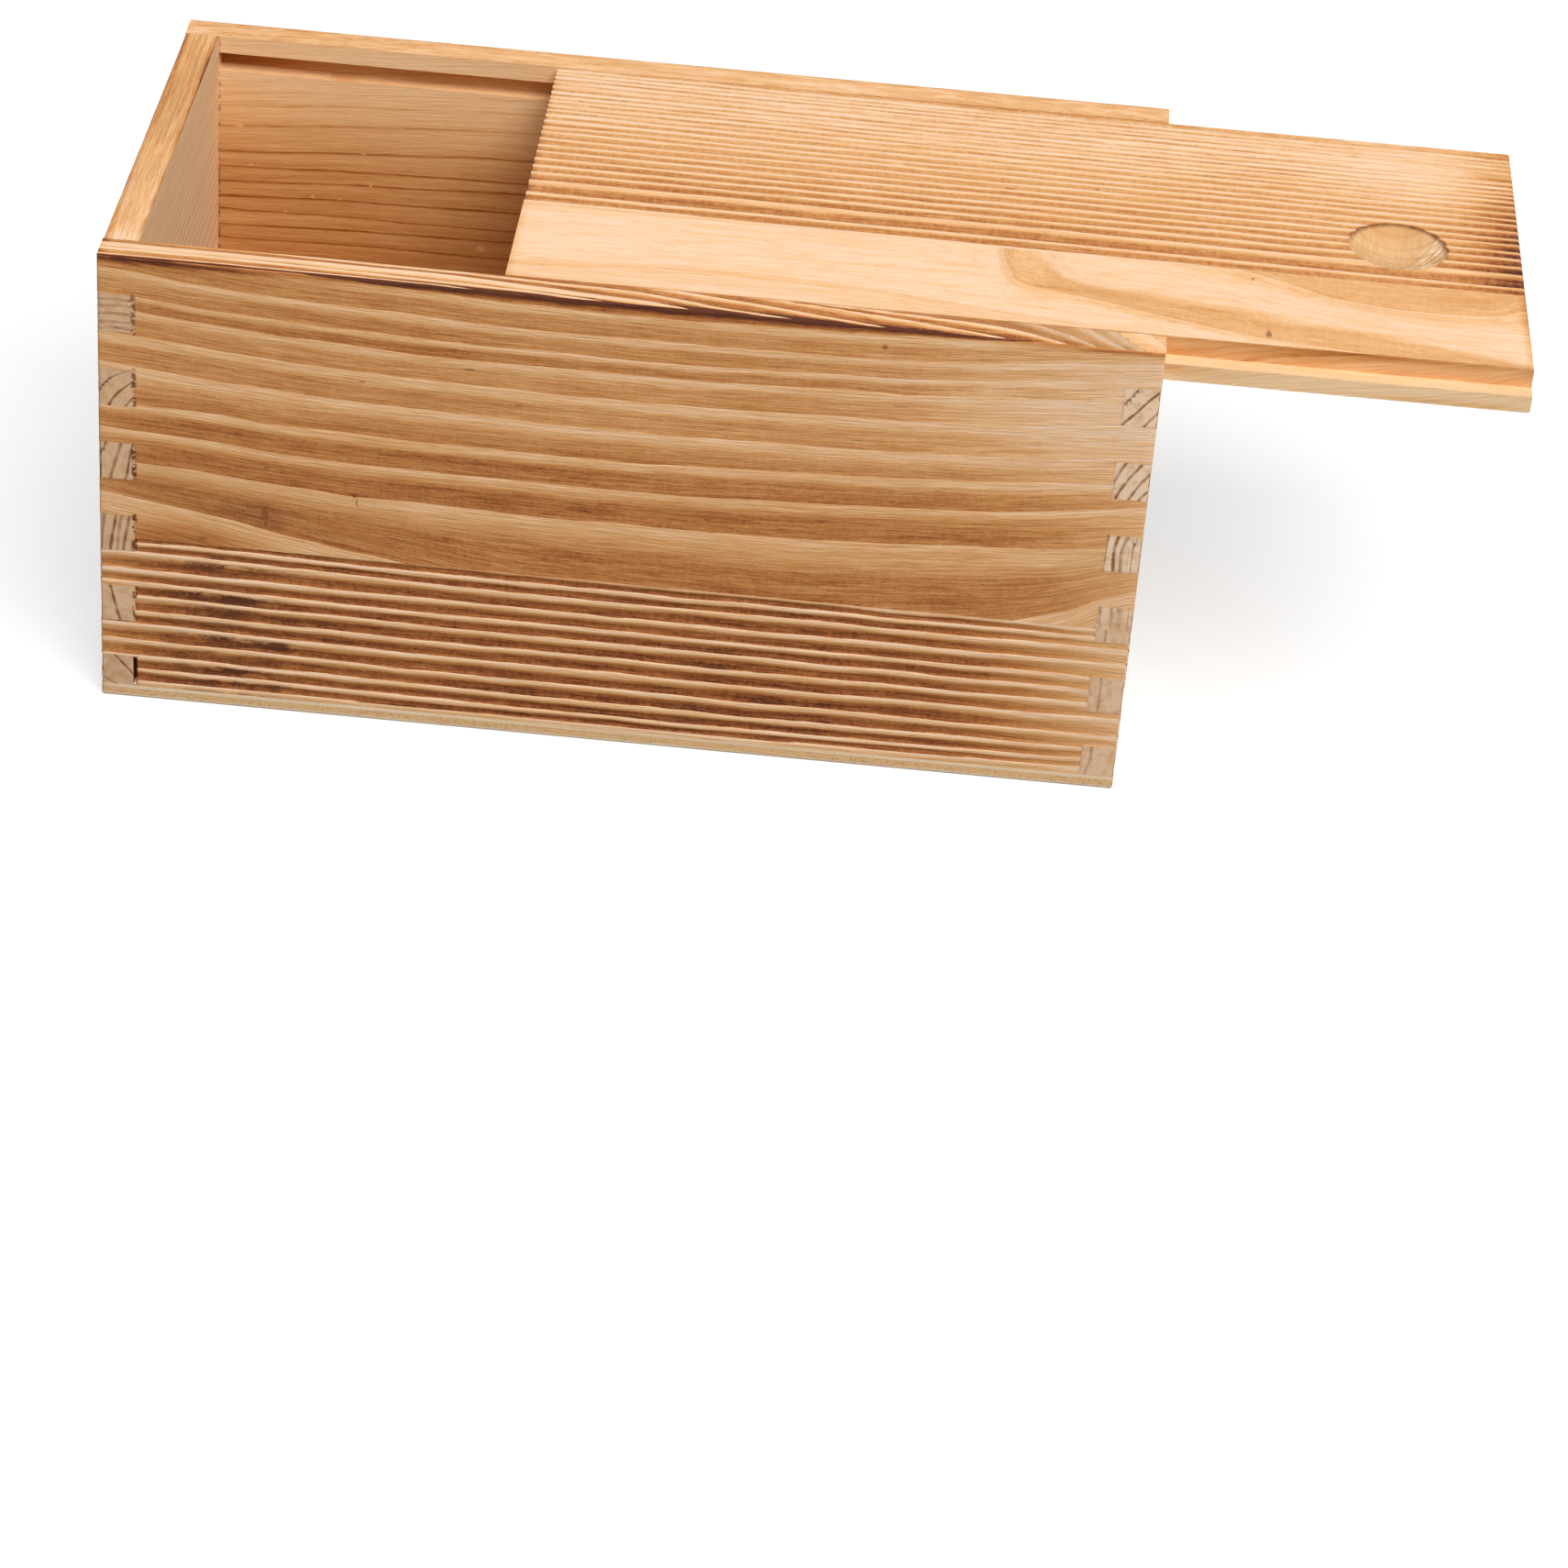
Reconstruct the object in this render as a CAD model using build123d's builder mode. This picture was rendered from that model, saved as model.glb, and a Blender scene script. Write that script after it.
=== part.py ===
from build123d import *
import os

# A finger-jointed pine box with a lid that slides in two grooves. All sizes in millimetres.
# +X runs along the box towards its open end, +Y to the back and +Z up. The origin is the
# middle of the underside, where the box rests. The lid is drawn part way out, as it is left
# open in use.

# The case, outside
length = 250.0
width = 130.0
wall_height = 118.5  # the long walls, above the base board

# The panels
side_thickness = 8.5  # long walls
end_thickness = 8.5  # end panels
base_thickness = 3.5  # plywood
edge_radius = 0.6  # the sanded outer edges

# Each solid-wood panel is glued up edge to edge from two boards. These are the widths of
# the lower boards, above the base, and of the lid's front board. The long walls and the
# open end are cut from the same glued-up stock, so their seams lie level.
lower_board_width = 42.2
closed_end_lower_width = 33.5
lid_front_width = 41.0

# The corner joints, cut in steps below the top finger
finger_height = 10.0

# The lid: a board with a thinner tongue along each side
lid_thickness = 9.2
tongue_thickness = 4.3
lid_opening = 86.0  # how far the lid is drawn out

# The grooves and the clearances round the lid
groove_depth = 4.5  # cut into the inside of each long wall
lid_clearance = 0.3  # lid to lip, wall, ledge and closed end
threshold_gap = 0.8  # lid to the top of the open end panel

# The thumb recess, a shallow round dish in the lid
recess_diameter = 24.0
recess_depth = 3.2
recess_inset = 30.0  # from the lid's outer end to the middle of the dish

# Worked out: heights
top_z = base_thickness + wall_height
lid_underside_z = top_z - lid_thickness
shoulder_z = lid_underside_z + tongue_thickness
ledge_z = lid_underside_z - lid_clearance
groove_height = tongue_thickness + 2 * lid_clearance
top_finger_z = lid_underside_z - threshold_gap

# Worked out: places across and along the box
inner_width = width - 2 * side_thickness
half_length = length / 2
lid_width = inner_width - 2 * lid_clearance
tongue_width = lid_width + 2 * groove_depth
lid_length = length - end_thickness - lid_clearance
lid_outer_x = half_length + lid_opening
lid_seam_y = lid_front_width - tongue_width / 2


def joint_bands():
    """The (low, high) heights of the joint's steps, from the top finger's foot down to the base.

    The last step takes what height is left, unless that is too thin to cut: then the step
    above it runs down to the base.
    """
    bands = []
    high = top_finger_z
    while high > base_thickness:
        low = high - finger_height
        if low - base_thickness < finger_height / 4:
            low = base_thickness
        bands.append((low, high))
        high = low
    return bands


# The end panels' fingers take every second step, starting right under the top finger
end_finger_bands = joint_bands()[0::2]


def finger_notches():
    """Cuts, from a long wall's outline, the notches that the end panels' fingers fill."""
    for low, high in end_finger_bands:
        with Locations((-half_length, low)):
            Rectangle(end_thickness, high - low, align=(Align.MIN, Align.MIN), mode=Mode.SUBTRACT)
        with Locations((half_length, low)):
            Rectangle(end_thickness, high - low, align=(Align.MAX, Align.MIN), mode=Mode.SUBTRACT)


def end_panel_outline(panel_top_z):
    """Draws an end panel: a board between the long walls, with fingers out to their faces."""
    with Locations((0, base_thickness)):
        Rectangle(inner_width, panel_top_z - base_thickness, align=(Align.CENTER, Align.MIN))
    for low, high in end_finger_bands:
        with Locations((0, low)):
            Rectangle(width, high - low, align=(Align.CENTER, Align.MIN))


def corner_edges(part, x):
    """The upright edges of a part that lie on the box's outer corners at that x."""
    upright = part.edges().filter_by(Axis.Z).filter_by_position(Axis.X, x, x)
    return upright.filter_by(lambda edge: abs(abs(edge.center().Y) - width / 2) < edge_radius / 10)


# The front wall's panel: notched at both ends, with the lid's groove along its inside
with BuildPart() as front_wall_panel:
    with BuildSketch(Plane.XZ.offset(width / 2)):
        with Locations((0, base_thickness)):
            Rectangle(length, wall_height, align=(Align.CENTER, Align.MIN))
        finger_notches()
    extrude(amount=-side_thickness)
    with BuildSketch(Plane.YZ.offset(-half_length)):
        with Locations((-inner_width / 2, ledge_z)):
            Rectangle(groove_depth, groove_height, align=(Align.MAX, Align.MIN))
    extrude(amount=length, mode=Mode.SUBTRACT)
    outer_face = front_wall_panel.faces().sort_by(Axis.Y)[0]
    outer_top_edge = outer_face.edges().filter_by(Axis.X).sort_by(Axis.Z)[-1:]
    left_corner = corner_edges(front_wall_panel, -half_length)
    right_corner = corner_edges(front_wall_panel, half_length)
    fillet(outer_top_edge + left_corner + right_corner, radius=edge_radius)

# Its two boards, glued along a seam that runs the length of the box
stock_seam = Plane.XY.offset(base_thickness + lower_board_width)

with BuildPart() as front_wall_upper_board:
    add(front_wall_panel.part)
    split(bisect_by=stock_seam, keep=Keep.TOP)
front_wall_upper_board.part.label = "front_wall_upper_board"

with BuildPart() as front_wall_lower_board:
    add(front_wall_panel.part)
    split(bisect_by=stock_seam, keep=Keep.BOTTOM)
front_wall_lower_board.part.label = "front_wall_lower_board"

# The back wall is the front wall's mirror image
with BuildPart() as back_wall_upper_board:
    mirror(front_wall_upper_board.part, about=Plane.XZ)
back_wall_upper_board.part.label = "back_wall_upper_board"

with BuildPart() as back_wall_lower_board:
    mirror(front_wall_lower_board.part, about=Plane.XZ)
back_wall_lower_board.part.label = "back_wall_lower_board"

# The closed end: full height, with two small tongues that fill the ends of the grooves
with BuildPart() as closed_end_panel:
    with BuildSketch(Plane.YZ.offset(-half_length)):
        end_panel_outline(top_z)
        with Locations((0, ledge_z)):
            Rectangle(inner_width + 2 * groove_depth, groove_height, align=(Align.CENTER, Align.MIN))
    extrude(amount=end_thickness)
    top_face = closed_end_panel.faces().sort_by(Axis.Z)[-1]
    closed_top_edge = top_face.edges().filter_by(Axis.Y).sort_by(Axis.X)[:1]
    fillet(closed_top_edge + corner_edges(closed_end_panel, -half_length), radius=edge_radius)

closed_end_seam = Plane.XY.offset(base_thickness + closed_end_lower_width)

with BuildPart() as closed_end_upper_board:
    add(closed_end_panel.part)
    split(bisect_by=closed_end_seam, keep=Keep.TOP)
closed_end_upper_board.part.label = "closed_end_upper_board"

with BuildPart() as closed_end_lower_board:
    add(closed_end_panel.part)
    split(bisect_by=closed_end_seam, keep=Keep.BOTTOM)
closed_end_lower_board.part.label = "closed_end_lower_board"

# The open end: lower, so that the lid slides out over it
with BuildPart() as open_end_panel:
    with BuildSketch(Plane.YZ.offset(half_length - end_thickness)):
        end_panel_outline(top_finger_z)
    extrude(amount=end_thickness)
    fillet(corner_edges(open_end_panel, half_length), radius=edge_radius)

with BuildPart() as open_end_upper_board:
    add(open_end_panel.part)
    split(bisect_by=stock_seam, keep=Keep.TOP)
open_end_upper_board.part.label = "open_end_upper_board"

with BuildPart() as open_end_lower_board:
    add(open_end_panel.part)
    split(bisect_by=stock_seam, keep=Keep.BOTTOM)
open_end_lower_board.part.label = "open_end_lower_board"

# The base: plywood the size of the box, glued under the walls, its lower edges sanded round
with BuildPart() as base:
    with BuildSketch(Plane.XY):
        Rectangle(length, width)
    extrude(amount=base_thickness)
    base_foot_edges = base.faces().sort_by(Axis.Z)[0].edges()
    fillet(base.edges().filter_by(Axis.Z) + base_foot_edges, radius=edge_radius)
base.part.label = "base"

# The sliding lid: the stepped profile along its whole length, and the dish for the thumb
with BuildPart() as lid_panel:
    with BuildSketch(Plane.YZ.offset(lid_outer_x - lid_length)):
        with Locations((0, lid_underside_z)):
            Rectangle(tongue_width, tongue_thickness, align=(Align.CENTER, Align.MIN))
        with Locations((0, shoulder_z)):
            Rectangle(lid_width, top_z - shoulder_z, align=(Align.CENTER, Align.MIN))
    extrude(amount=lid_length)
    outer_end_edges = lid_panel.faces().sort_by(Axis.X)[-1].edges().filter_by(Axis.Y).sort_by(Axis.Z)
    fillet(outer_end_edges[:1] + outer_end_edges[-1:], radius=edge_radius)
    dish_radius = ((recess_diameter / 2) ** 2 + recess_depth ** 2) / (2 * recess_depth)
    with Locations((lid_outer_x - recess_inset, 0, top_z + dish_radius - recess_depth)):
        Sphere(dish_radius, mode=Mode.SUBTRACT)

lid_seam = Plane.XZ.offset(-lid_seam_y)

with BuildPart() as lid_front_board:
    add(lid_panel.part)
    split(bisect_by=lid_seam, keep=Keep.TOP)
lid_front_board.part.label = "lid_front_board"

with BuildPart() as lid_rear_board:
    add(lid_panel.part)
    split(bisect_by=lid_seam, keep=Keep.BOTTOM)
lid_rear_board.part.label = "lid_rear_board"

pieces = [
    front_wall_upper_board,
    front_wall_lower_board,
    back_wall_upper_board,
    back_wall_lower_board,
    closed_end_upper_board,
    closed_end_lower_board,
    open_end_upper_board,
    open_end_lower_board,
    base,
    lid_front_board,
    lid_rear_board,
]
os.makedirs("parts", exist_ok=True)
for piece in pieces:
    export_step(piece.part, "parts/" + piece.part.label + ".step")
    size = piece.part.bounding_box().size
    volume = piece.part.volume / 1000
    print(f"{piece.part.label}: {size.X:.1f} x {size.Y:.1f} x {size.Z:.1f} mm, {volume:.1f} cm3")

shut_travel = -lid_opening
free_travel = half_length - (lid_outer_x - lid_length)
print(f"Lid travel from here: {shut_travel:.1f} shut, {free_travel:.1f} clear of the grooves")
print(f"Steps of the corner joint: {len(joint_bands())}, end fingers: {len(end_finger_bands)}")
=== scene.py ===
# %% [markdown]
# # A pine box with a sliding lid
#
# The real box is glued up from pine boards. Their corners are cut into square fingers, and the
# outside was scorched with a flame and brushed: the soft early wood burnt brown and sank, and the
# hard late wood stands up in pale ridges. The measured solids are ready in the frame. This lesson
# models each board again with Blender's own tools, finely enough to carry that raised grain, and
# then gives the wood its colours. Nothing is moved or resized: every size is read from the frame.

# %% Load the measured box
import math
from collections import namedtuple

import bmesh
import bpy
import numpy as np
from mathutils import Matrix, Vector


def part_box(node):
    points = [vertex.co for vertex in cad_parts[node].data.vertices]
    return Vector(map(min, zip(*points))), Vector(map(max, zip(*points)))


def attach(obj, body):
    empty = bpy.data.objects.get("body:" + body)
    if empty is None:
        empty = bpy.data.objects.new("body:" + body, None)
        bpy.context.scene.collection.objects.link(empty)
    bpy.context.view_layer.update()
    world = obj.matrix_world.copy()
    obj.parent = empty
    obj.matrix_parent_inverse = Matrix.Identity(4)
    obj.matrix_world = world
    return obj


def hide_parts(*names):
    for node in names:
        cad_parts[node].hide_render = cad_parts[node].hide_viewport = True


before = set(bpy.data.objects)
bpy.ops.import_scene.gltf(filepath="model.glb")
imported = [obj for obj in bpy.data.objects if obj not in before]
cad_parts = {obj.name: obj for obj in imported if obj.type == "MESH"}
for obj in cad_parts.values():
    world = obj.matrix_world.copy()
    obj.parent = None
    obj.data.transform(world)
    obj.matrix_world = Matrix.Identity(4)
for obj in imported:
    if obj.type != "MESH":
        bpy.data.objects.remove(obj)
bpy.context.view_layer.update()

MM = 0.001
print("nodes:", sorted(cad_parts))

# %% [markdown]
# ## Camera
#
# The picture looks down on the box from the front, a little from its left. The place and the
# lens were found by lining up the box's corners, and a long lens keeps its edges nearly parallel.

# %% Camera
# Its place in metres, its turn about X, Y and Z in degrees, and its focal length in millimetres
CAMERA_PLACE = (0.07084, -1.07518, 0.66819)
CAMERA_TURN = (56.1447, -3.8032, 4.0362)
CAMERA_LENS = 113.091

scene = bpy.context.scene
bpy.ops.object.camera_add(location=CAMERA_PLACE)
camera = bpy.context.object
camera.rotation_euler = [math.radians(angle) for angle in CAMERA_TURN]
camera.data.lens = CAMERA_LENS
scene.camera = camera
print("camera at", tuple(round(value, 3) for value in camera.location))

# %% [markdown]
# ## Light, floor and background
#
# The box stands in soft studio light on white. One large lamp shines down on it from the front, so
# that it reaches into the groove and onto the back wall, and a white world fills the shadows.
# Both are kept at a plain level, so that a colour renders about as it is written. Only what the
# camera or a reflection sees of the world is pure white: more light isn't needed for that. The
# floor looks nearly white and still takes the box's shadow.

# %% Helpers that wire shader nodes
def wire(tree, kind, inputs=None, **options):
    """Adds a node. Of its inputs, a socket is linked and a plain value is typed in."""
    node = tree.nodes.new("ShaderNode" + kind)
    for name, value in options.items():
        setattr(node, name, value)
    for key, value in (inputs or {}).items():
        if isinstance(value, bpy.types.NodeSocket):
            tree.links.new(value, node.inputs[key])
        else:
            node.inputs[key].default_value = value
    return node


def maths(tree, operation, first, second=0.0, third=0.0):
    """One Math node."""
    inputs = {0: first, 1: second, 2: third}
    return wire(tree, "Math", inputs, operation=operation).outputs[0]


def wood_colour(red, green, blue):
    """A colour written as it looks on screen, from 0 to 255, as the linear values of a shader."""
    linear = []
    for value in (red, green, blue):
        share = value / 255
        linear.append(share / 12.92 if share <= 0.04045 else ((share + 0.055) / 1.055) ** 2.4)
    return (*linear, 1.0)


def seen_directly(tree):
    """1 for rays that come from the camera, or from it by way of a mirror or glass."""
    path = wire(tree, "LightPath")
    seen = maths(tree, "MAXIMUM", path.outputs["Is Camera Ray"], path.outputs["Is Glossy Ray"])
    return maths(tree, "MAXIMUM", seen, path.outputs["Is Transmission Ray"])


print("mid grey as a shader sees it:", [round(value, 3) for value in wood_colour(128, 128, 128)])

# %% World and lamp
WHITE = (1, 1, 1, 1)
FILL_LIGHT = 0.30
LAMP_POWER = 79.0
LAMP_WIDTH = 2.0
LAMP_PLACE = (0.80, -1.35, 2.40)
LAMP_AIM = (0, 0, 0.06)

world = bpy.data.worlds.new("white_studio")
scene.world = world
world.use_nodes = True
world.node_tree.nodes.clear()
fill = wire(world.node_tree, "Background", {"Color": WHITE, "Strength": FILL_LIGHT})
white = wire(world.node_tree, "Background", {"Color": WHITE, "Strength": 1.0})
sky_inputs = {0: seen_directly(world.node_tree), 1: fill.outputs[0], 2: white.outputs[0]}
sky = wire(world.node_tree, "MixShader", sky_inputs)
wire(world.node_tree, "OutputWorld", {"Surface": sky.outputs[0]})

bpy.ops.object.light_add(type="AREA", location=LAMP_PLACE)
lamp = bpy.context.object
lamp.data.shape = "DISK"
lamp.data.size = LAMP_WIDTH
lamp.data.energy = LAMP_POWER
lamp.rotation_euler = (Vector(LAMP_AIM) - lamp.location).to_track_quat("-Z", "Y").to_euler()
scene.view_settings.view_transform = "Standard"
print("lamp power", lamp.data.energy, "W")

# %% Floor
# The card's colour where the camera sees it and where it only lights the box, and its glow
CARD_SEEN = wood_colour(184, 184, 183)
CARD_UNSEEN = wood_colour(140, 140, 139)
CARD_GLOW = (0.64, 0.64, 0.64, 1)

bpy.ops.mesh.primitive_plane_add(size=8)
floor = bpy.context.object
floor.name = "white_floor"
floor_material = bpy.data.materials.new("white_card")
floor_material.use_nodes = True
card = floor_material.node_tree
card_shader = card.nodes["Principled BSDF"]
card_seen = seen_directly(card)
card_colour = wire(card, "Mix", {0: card_seen, 6: CARD_UNSEEN, 7: CARD_SEEN}, data_type="RGBA")
card.links.new(card_colour.outputs[2], card_shader.inputs["Base Color"])
card_shader.inputs["Roughness"].default_value = 0.9
card_shader.inputs["Specular IOR Level"].default_value = 0.0
glow = wire(card, "Mix", {0: card_seen, 6: (0, 0, 0, 1), 7: CARD_GLOW}, data_type="RGBA")
card.links.new(glow.outputs[2], card_shader.inputs["Emission Color"])
card_shader.inputs["Emission Strength"].default_value = 1.0
floor.data.materials.append(floor_material)
print(floor.name, "is", round(floor.dimensions.x, 1), "m wide")

# %% [markdown]
# ## Sizes read from the frame
#
# A board's outline is its node's box. The finger joints are cut in even steps from the top finger
# down. The end panels' fingers take every second step, and the long walls' fingers the others.

# %% The steps of the corner joint
def place(value):
    """A coordinate of the frame, rounded to a thousandth of a millimetre."""
    return round(value, 6)


case_low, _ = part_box("base")
_, case_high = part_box("closed_end_upper_board")
HALF_LENGTH = place(-case_low.x)
HALF_WIDTH = place(-case_low.y)
CASE_TOP = place(case_high.z)
BASE_TOP = place(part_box("base")[1].z)
TOP_FINGER = place(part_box("open_end_upper_board")[1].z)
WALL_INNER_Y = place(-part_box("front_wall_upper_board")[1].y)
END_INNER_X = place(-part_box("closed_end_upper_board")[1].x)
LID_UNDER = place(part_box("lid_front_board")[0].z)
FINGER_STEP = 10 * MM


def joint_steps():
    """The (low, high) heights of the joint's steps, from the top finger's foot to the base."""
    steps = []
    high = TOP_FINGER
    while high > BASE_TOP:
        low = place(high - FINGER_STEP)
        if low - BASE_TOP < FINGER_STEP / 4:
            low = BASE_TOP
        steps.append((low, high))
        high = low
    return steps


END_FINGERS = joint_steps()[0::2]
WALL_FINGERS = joint_steps()[1::2]
print("end fingers:", END_FINGERS)

# %% [markdown]
# ## Boards from cubes
#
# Each board starts as a cube primitive of its outline. Its sanded edges are beveled, and blocks
# are cut out of it with a Boolean modifier for the fingers and the groove. Then it is bisected
# along every feature, so that all its faces are plain rectangles, and these are subdivided
# into a fine grid: close across the grain, where the ridges need it, and wider along it. A
# displacement texture on a bare cube would be quicker, but it couldn't keep the fingers sharp.

# %% Start a board
SANDED = 0.6 * MM
TINY = 0.002 * MM


def select_only(thing):
    """Makes one object the only selected and the active one."""
    bpy.ops.object.select_all(action="DESELECT")
    thing.select_set(True)
    bpy.context.view_layer.objects.active = thing


def add_block(name, low, high):
    """A cube primitive between two corners, with its place in its mesh."""
    low, high = Vector(low), Vector(high)
    bpy.ops.object.select_all(action="DESELECT")
    bpy.ops.mesh.primitive_cube_add(size=1, location=(low + high) / 2, scale=high - low)
    block = bpy.context.object
    block.name = name
    bpy.ops.object.transform_apply(location=True, rotation=True, scale=True)
    return block


def round_edges(board, on_edge):
    """Bevels the edges of which both ends, and the direction between them, pass a test."""
    bpy.ops.object.mode_set(mode="EDIT")
    bpy.ops.mesh.select_mode(type="EDGE")
    bpy.ops.mesh.select_all(action="DESELECT")
    grid = bmesh.from_edit_mesh(board.data)
    for edge in grid.edges:
        start, end = (vertex.co for vertex in edge.verts)
        edge.select_set(on_edge(start, end))
    bmesh.update_edit_mesh(board.data)
    bpy.ops.mesh.bevel(offset=SANDED, segments=3, affect="EDGES")
    bpy.ops.object.mode_set(mode="OBJECT")


def outer_edges(axis, level):
    """A test for the edges of a wall's outer face that stand upright or lie along the top."""
    def on_edge(start, end):
        outside = abs(start[axis] - level) < TINY and abs(end[axis] - level) < TINY
        upright = abs(start[1 - axis] - end[1 - axis]) < TINY
        top = start.z > CASE_TOP - TINY and end.z > CASE_TOP - TINY
        return outside and (upright or top)
    return on_edge


print("sanded edges are", round(SANDED / MM, 2), "mm round")

# %% Cut blocks out of a board
def cut_away(board, cutter):
    """Takes a cutter's shape out of a board with a Boolean modifier, and deletes the cutter."""
    select_only(board)
    cut = board.modifiers.new("cut", "BOOLEAN")
    cut.operation = "DIFFERENCE"
    cut.solver = "EXACT"
    cut.object = cutter
    bpy.ops.object.modifier_apply(modifier=cut.name)
    bpy.data.objects.remove(cutter)


def cut_blocks(board, blocks):
    """Cuts blocks that don't touch each other, given by their corners, out of a board."""
    cutters = [add_block("cutter", low, high) for low, high in blocks]
    bpy.ops.object.select_all(action="DESELECT")
    for cutter in cutters:
        cutter.select_set(True)
    bpy.context.view_layer.objects.active = cutters[0]
    if len(cutters) > 1:
        bpy.ops.object.join()
    cut_away(board, cutters[0])

# %% Slice and comb a board
def slice_board(axis, places):
    """Bisects the board in Edit mode square to an axis (0, 1 or 2) at each place."""
    normal = [0, 0, 0]
    normal[axis] = 1
    for value in places:
        point = [0, 0, 0]
        point[axis] = value
        bpy.ops.mesh.select_all(action="SELECT")
        bpy.ops.mesh.bisect(plane_co=point, plane_no=normal, threshold=1e-7)


def edge_span(edge, axis):
    """The (low, high) of an edge that runs along an axis, or None for any other edge."""
    start, end = (vertex.co for vertex in edge.verts)
    if abs(end[axis] - start[axis]) < 0.9999 * (end - start).length:
        return None
    return tuple(sorted((round(start[axis], 6), round(end[axis], 6))))


def comb_board(board, axis, spacing, close=None):
    """Subdivides the edges along an axis, band by band, until none is longer than the spacing.
    One stretch of the board may be given a closer spacing of its own."""
    grid = bmesh.from_edit_mesh(board.data)
    bands = {edge_span(edge, axis) for edge in grid.edges} - {None}
    for band in sorted(bands):
        inside = close and close[0][0] - TINY < band[0] and band[1] < close[0][1] + TINY
        cuts = math.ceil((band[1] - band[0]) / (close[1] if inside else spacing) - 1e-3) - 1
        if cuts < 1:
            continue
        bpy.ops.mesh.select_all(action="DESELECT")
        grid = bmesh.from_edit_mesh(board.data)
        for edge in grid.edges:
            edge.select_set(edge_span(edge, axis) == band)
        bmesh.update_edit_mesh(board.data)
        bpy.ops.mesh.subdivide(number_cuts=cuts)


def grid_board(board, slices, spacings, close_along_x=None):
    """Slices a board at its features and combs it along X, Y and Z. Returns its face count."""
    select_only(board)
    bpy.ops.object.mode_set(mode="EDIT")
    bpy.ops.mesh.select_mode(type="EDGE")
    for axis in range(3):
        slice_board(axis, slices[axis])
    for axis in (1, 2, 0):
        comb_board(board, axis, spacings[axis], close_along_x if axis == 0 else None)
    bpy.ops.object.mode_set(mode="OBJECT")
    return len(board.data.polygons)

# %% [markdown]
# ## The long walls
#
# A long wall is one panel of two boards, glued edge to edge. Its upper board has the groove that
# the lid's tongue runs in. Notches at both ends take the end panels' fingers. The back wall is
# built the same way the other way round.

# %% Model the long walls' boards
ACROSS = 0.4 * MM
ALONG = 2.0 * MM
THROUGH = 0.85 * MM
OVERCUT = 5 * MM
CLEARANCE = 0.3 * MM
GROOVE_WIDTH = 4.9 * MM
GROOVE_Y = place(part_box("lid_rear_board")[1].y + CLEARANCE)
LEDGE_Z = place(LID_UNDER - CLEARANCE)
LIP_Z = place(LEDGE_Z + GROOVE_WIDTH)


def end_notches(bands):
    """Blocks at both ends of a long wall that leave room for the end panels' fingers."""
    blocks = []
    for low, high in bands:
        for side in (-1, 1):
            ends = sorted((side * END_INNER_X, side * (HALF_LENGTH + OVERCUT)))
            blocks.append(((ends[0], -HALF_WIDTH * 2, low), (ends[1], HALF_WIDTH * 2, high)))
    return blocks


# The open joint at the front's lower left corner, where the finger stops short of the notch
OPEN_JOINT = ((-0.1171, -0.0660, 0.0038), (-0.1161, -0.0618, 0.0117))


def long_wall_board(name, node, outward):
    """One board of a long wall. outward is -1 for the front wall and 1 for the back wall."""
    low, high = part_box(node)
    board = add_block(name, low, high)
    round_edges(board, outer_edges(1, outward * HALF_WIDTH))
    cut_blocks(board, end_notches(END_FINGERS))
    if high.z > CASE_TOP - TINY:
        groove = sorted((outward * (WALL_INNER_Y - OVERCUT), outward * GROOVE_Y))
        cut_blocks(board, [((-1, groove[0], LEDGE_Z), (1, groove[1], LIP_Z))])
    elif outward < 0:
        cut_blocks(board, [OPEN_JOINT])
    levels = [level for band in END_FINGERS for level in band if low.z < level < high.z]
    slot_x = OPEN_JOINT[1][0]
    slices = (
        (-HALF_LENGTH + SANDED, -END_INNER_X, slot_x, 0, END_INNER_X, HALF_LENGTH - SANDED),
        (outward * (HALF_WIDTH - SANDED), outward * GROOVE_Y),
        (OPEN_JOINT[0][2], OPEN_JOINT[1][2], *levels, LEDGE_Z, LIP_Z, CASE_TOP - SANDED),
    )
    faces = grid_board(board, slices, (ALONG, THROUGH, ACROSS))
    print(name, faces, "faces")
    return board


front_upper = long_wall_board("front_wall_upper_plank", "front_wall_upper_board", -1)
front_lower = long_wall_board("front_wall_lower_plank", "front_wall_lower_board", -1)
back_upper = long_wall_board("back_wall_upper_plank", "back_wall_upper_board", 1)
back_lower = long_wall_board("back_wall_lower_plank", "back_wall_lower_board", 1)

# %% [markdown]
# ## The end panels
#
# An end panel stands between the long walls and reaches through them with its fingers. The
# closed end is as high as the walls and has two small tongues that fill the ends of the
# grooves. The open end stops under the lid, which slides out over it.

# %% Model the end panels' boards
def side_notches(bands, inner_y=WALL_INNER_Y):
    """Blocks at both sides of an end panel that leave room for the long walls' fingers."""
    blocks = []
    for low, high in bands:
        for side in (-1, 1):
            ends = sorted((side * inner_y, side * (HALF_WIDTH + OVERCUT)))
            blocks.append(((-1, ends[0], low), (1, ends[1], high)))
    return blocks


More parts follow.
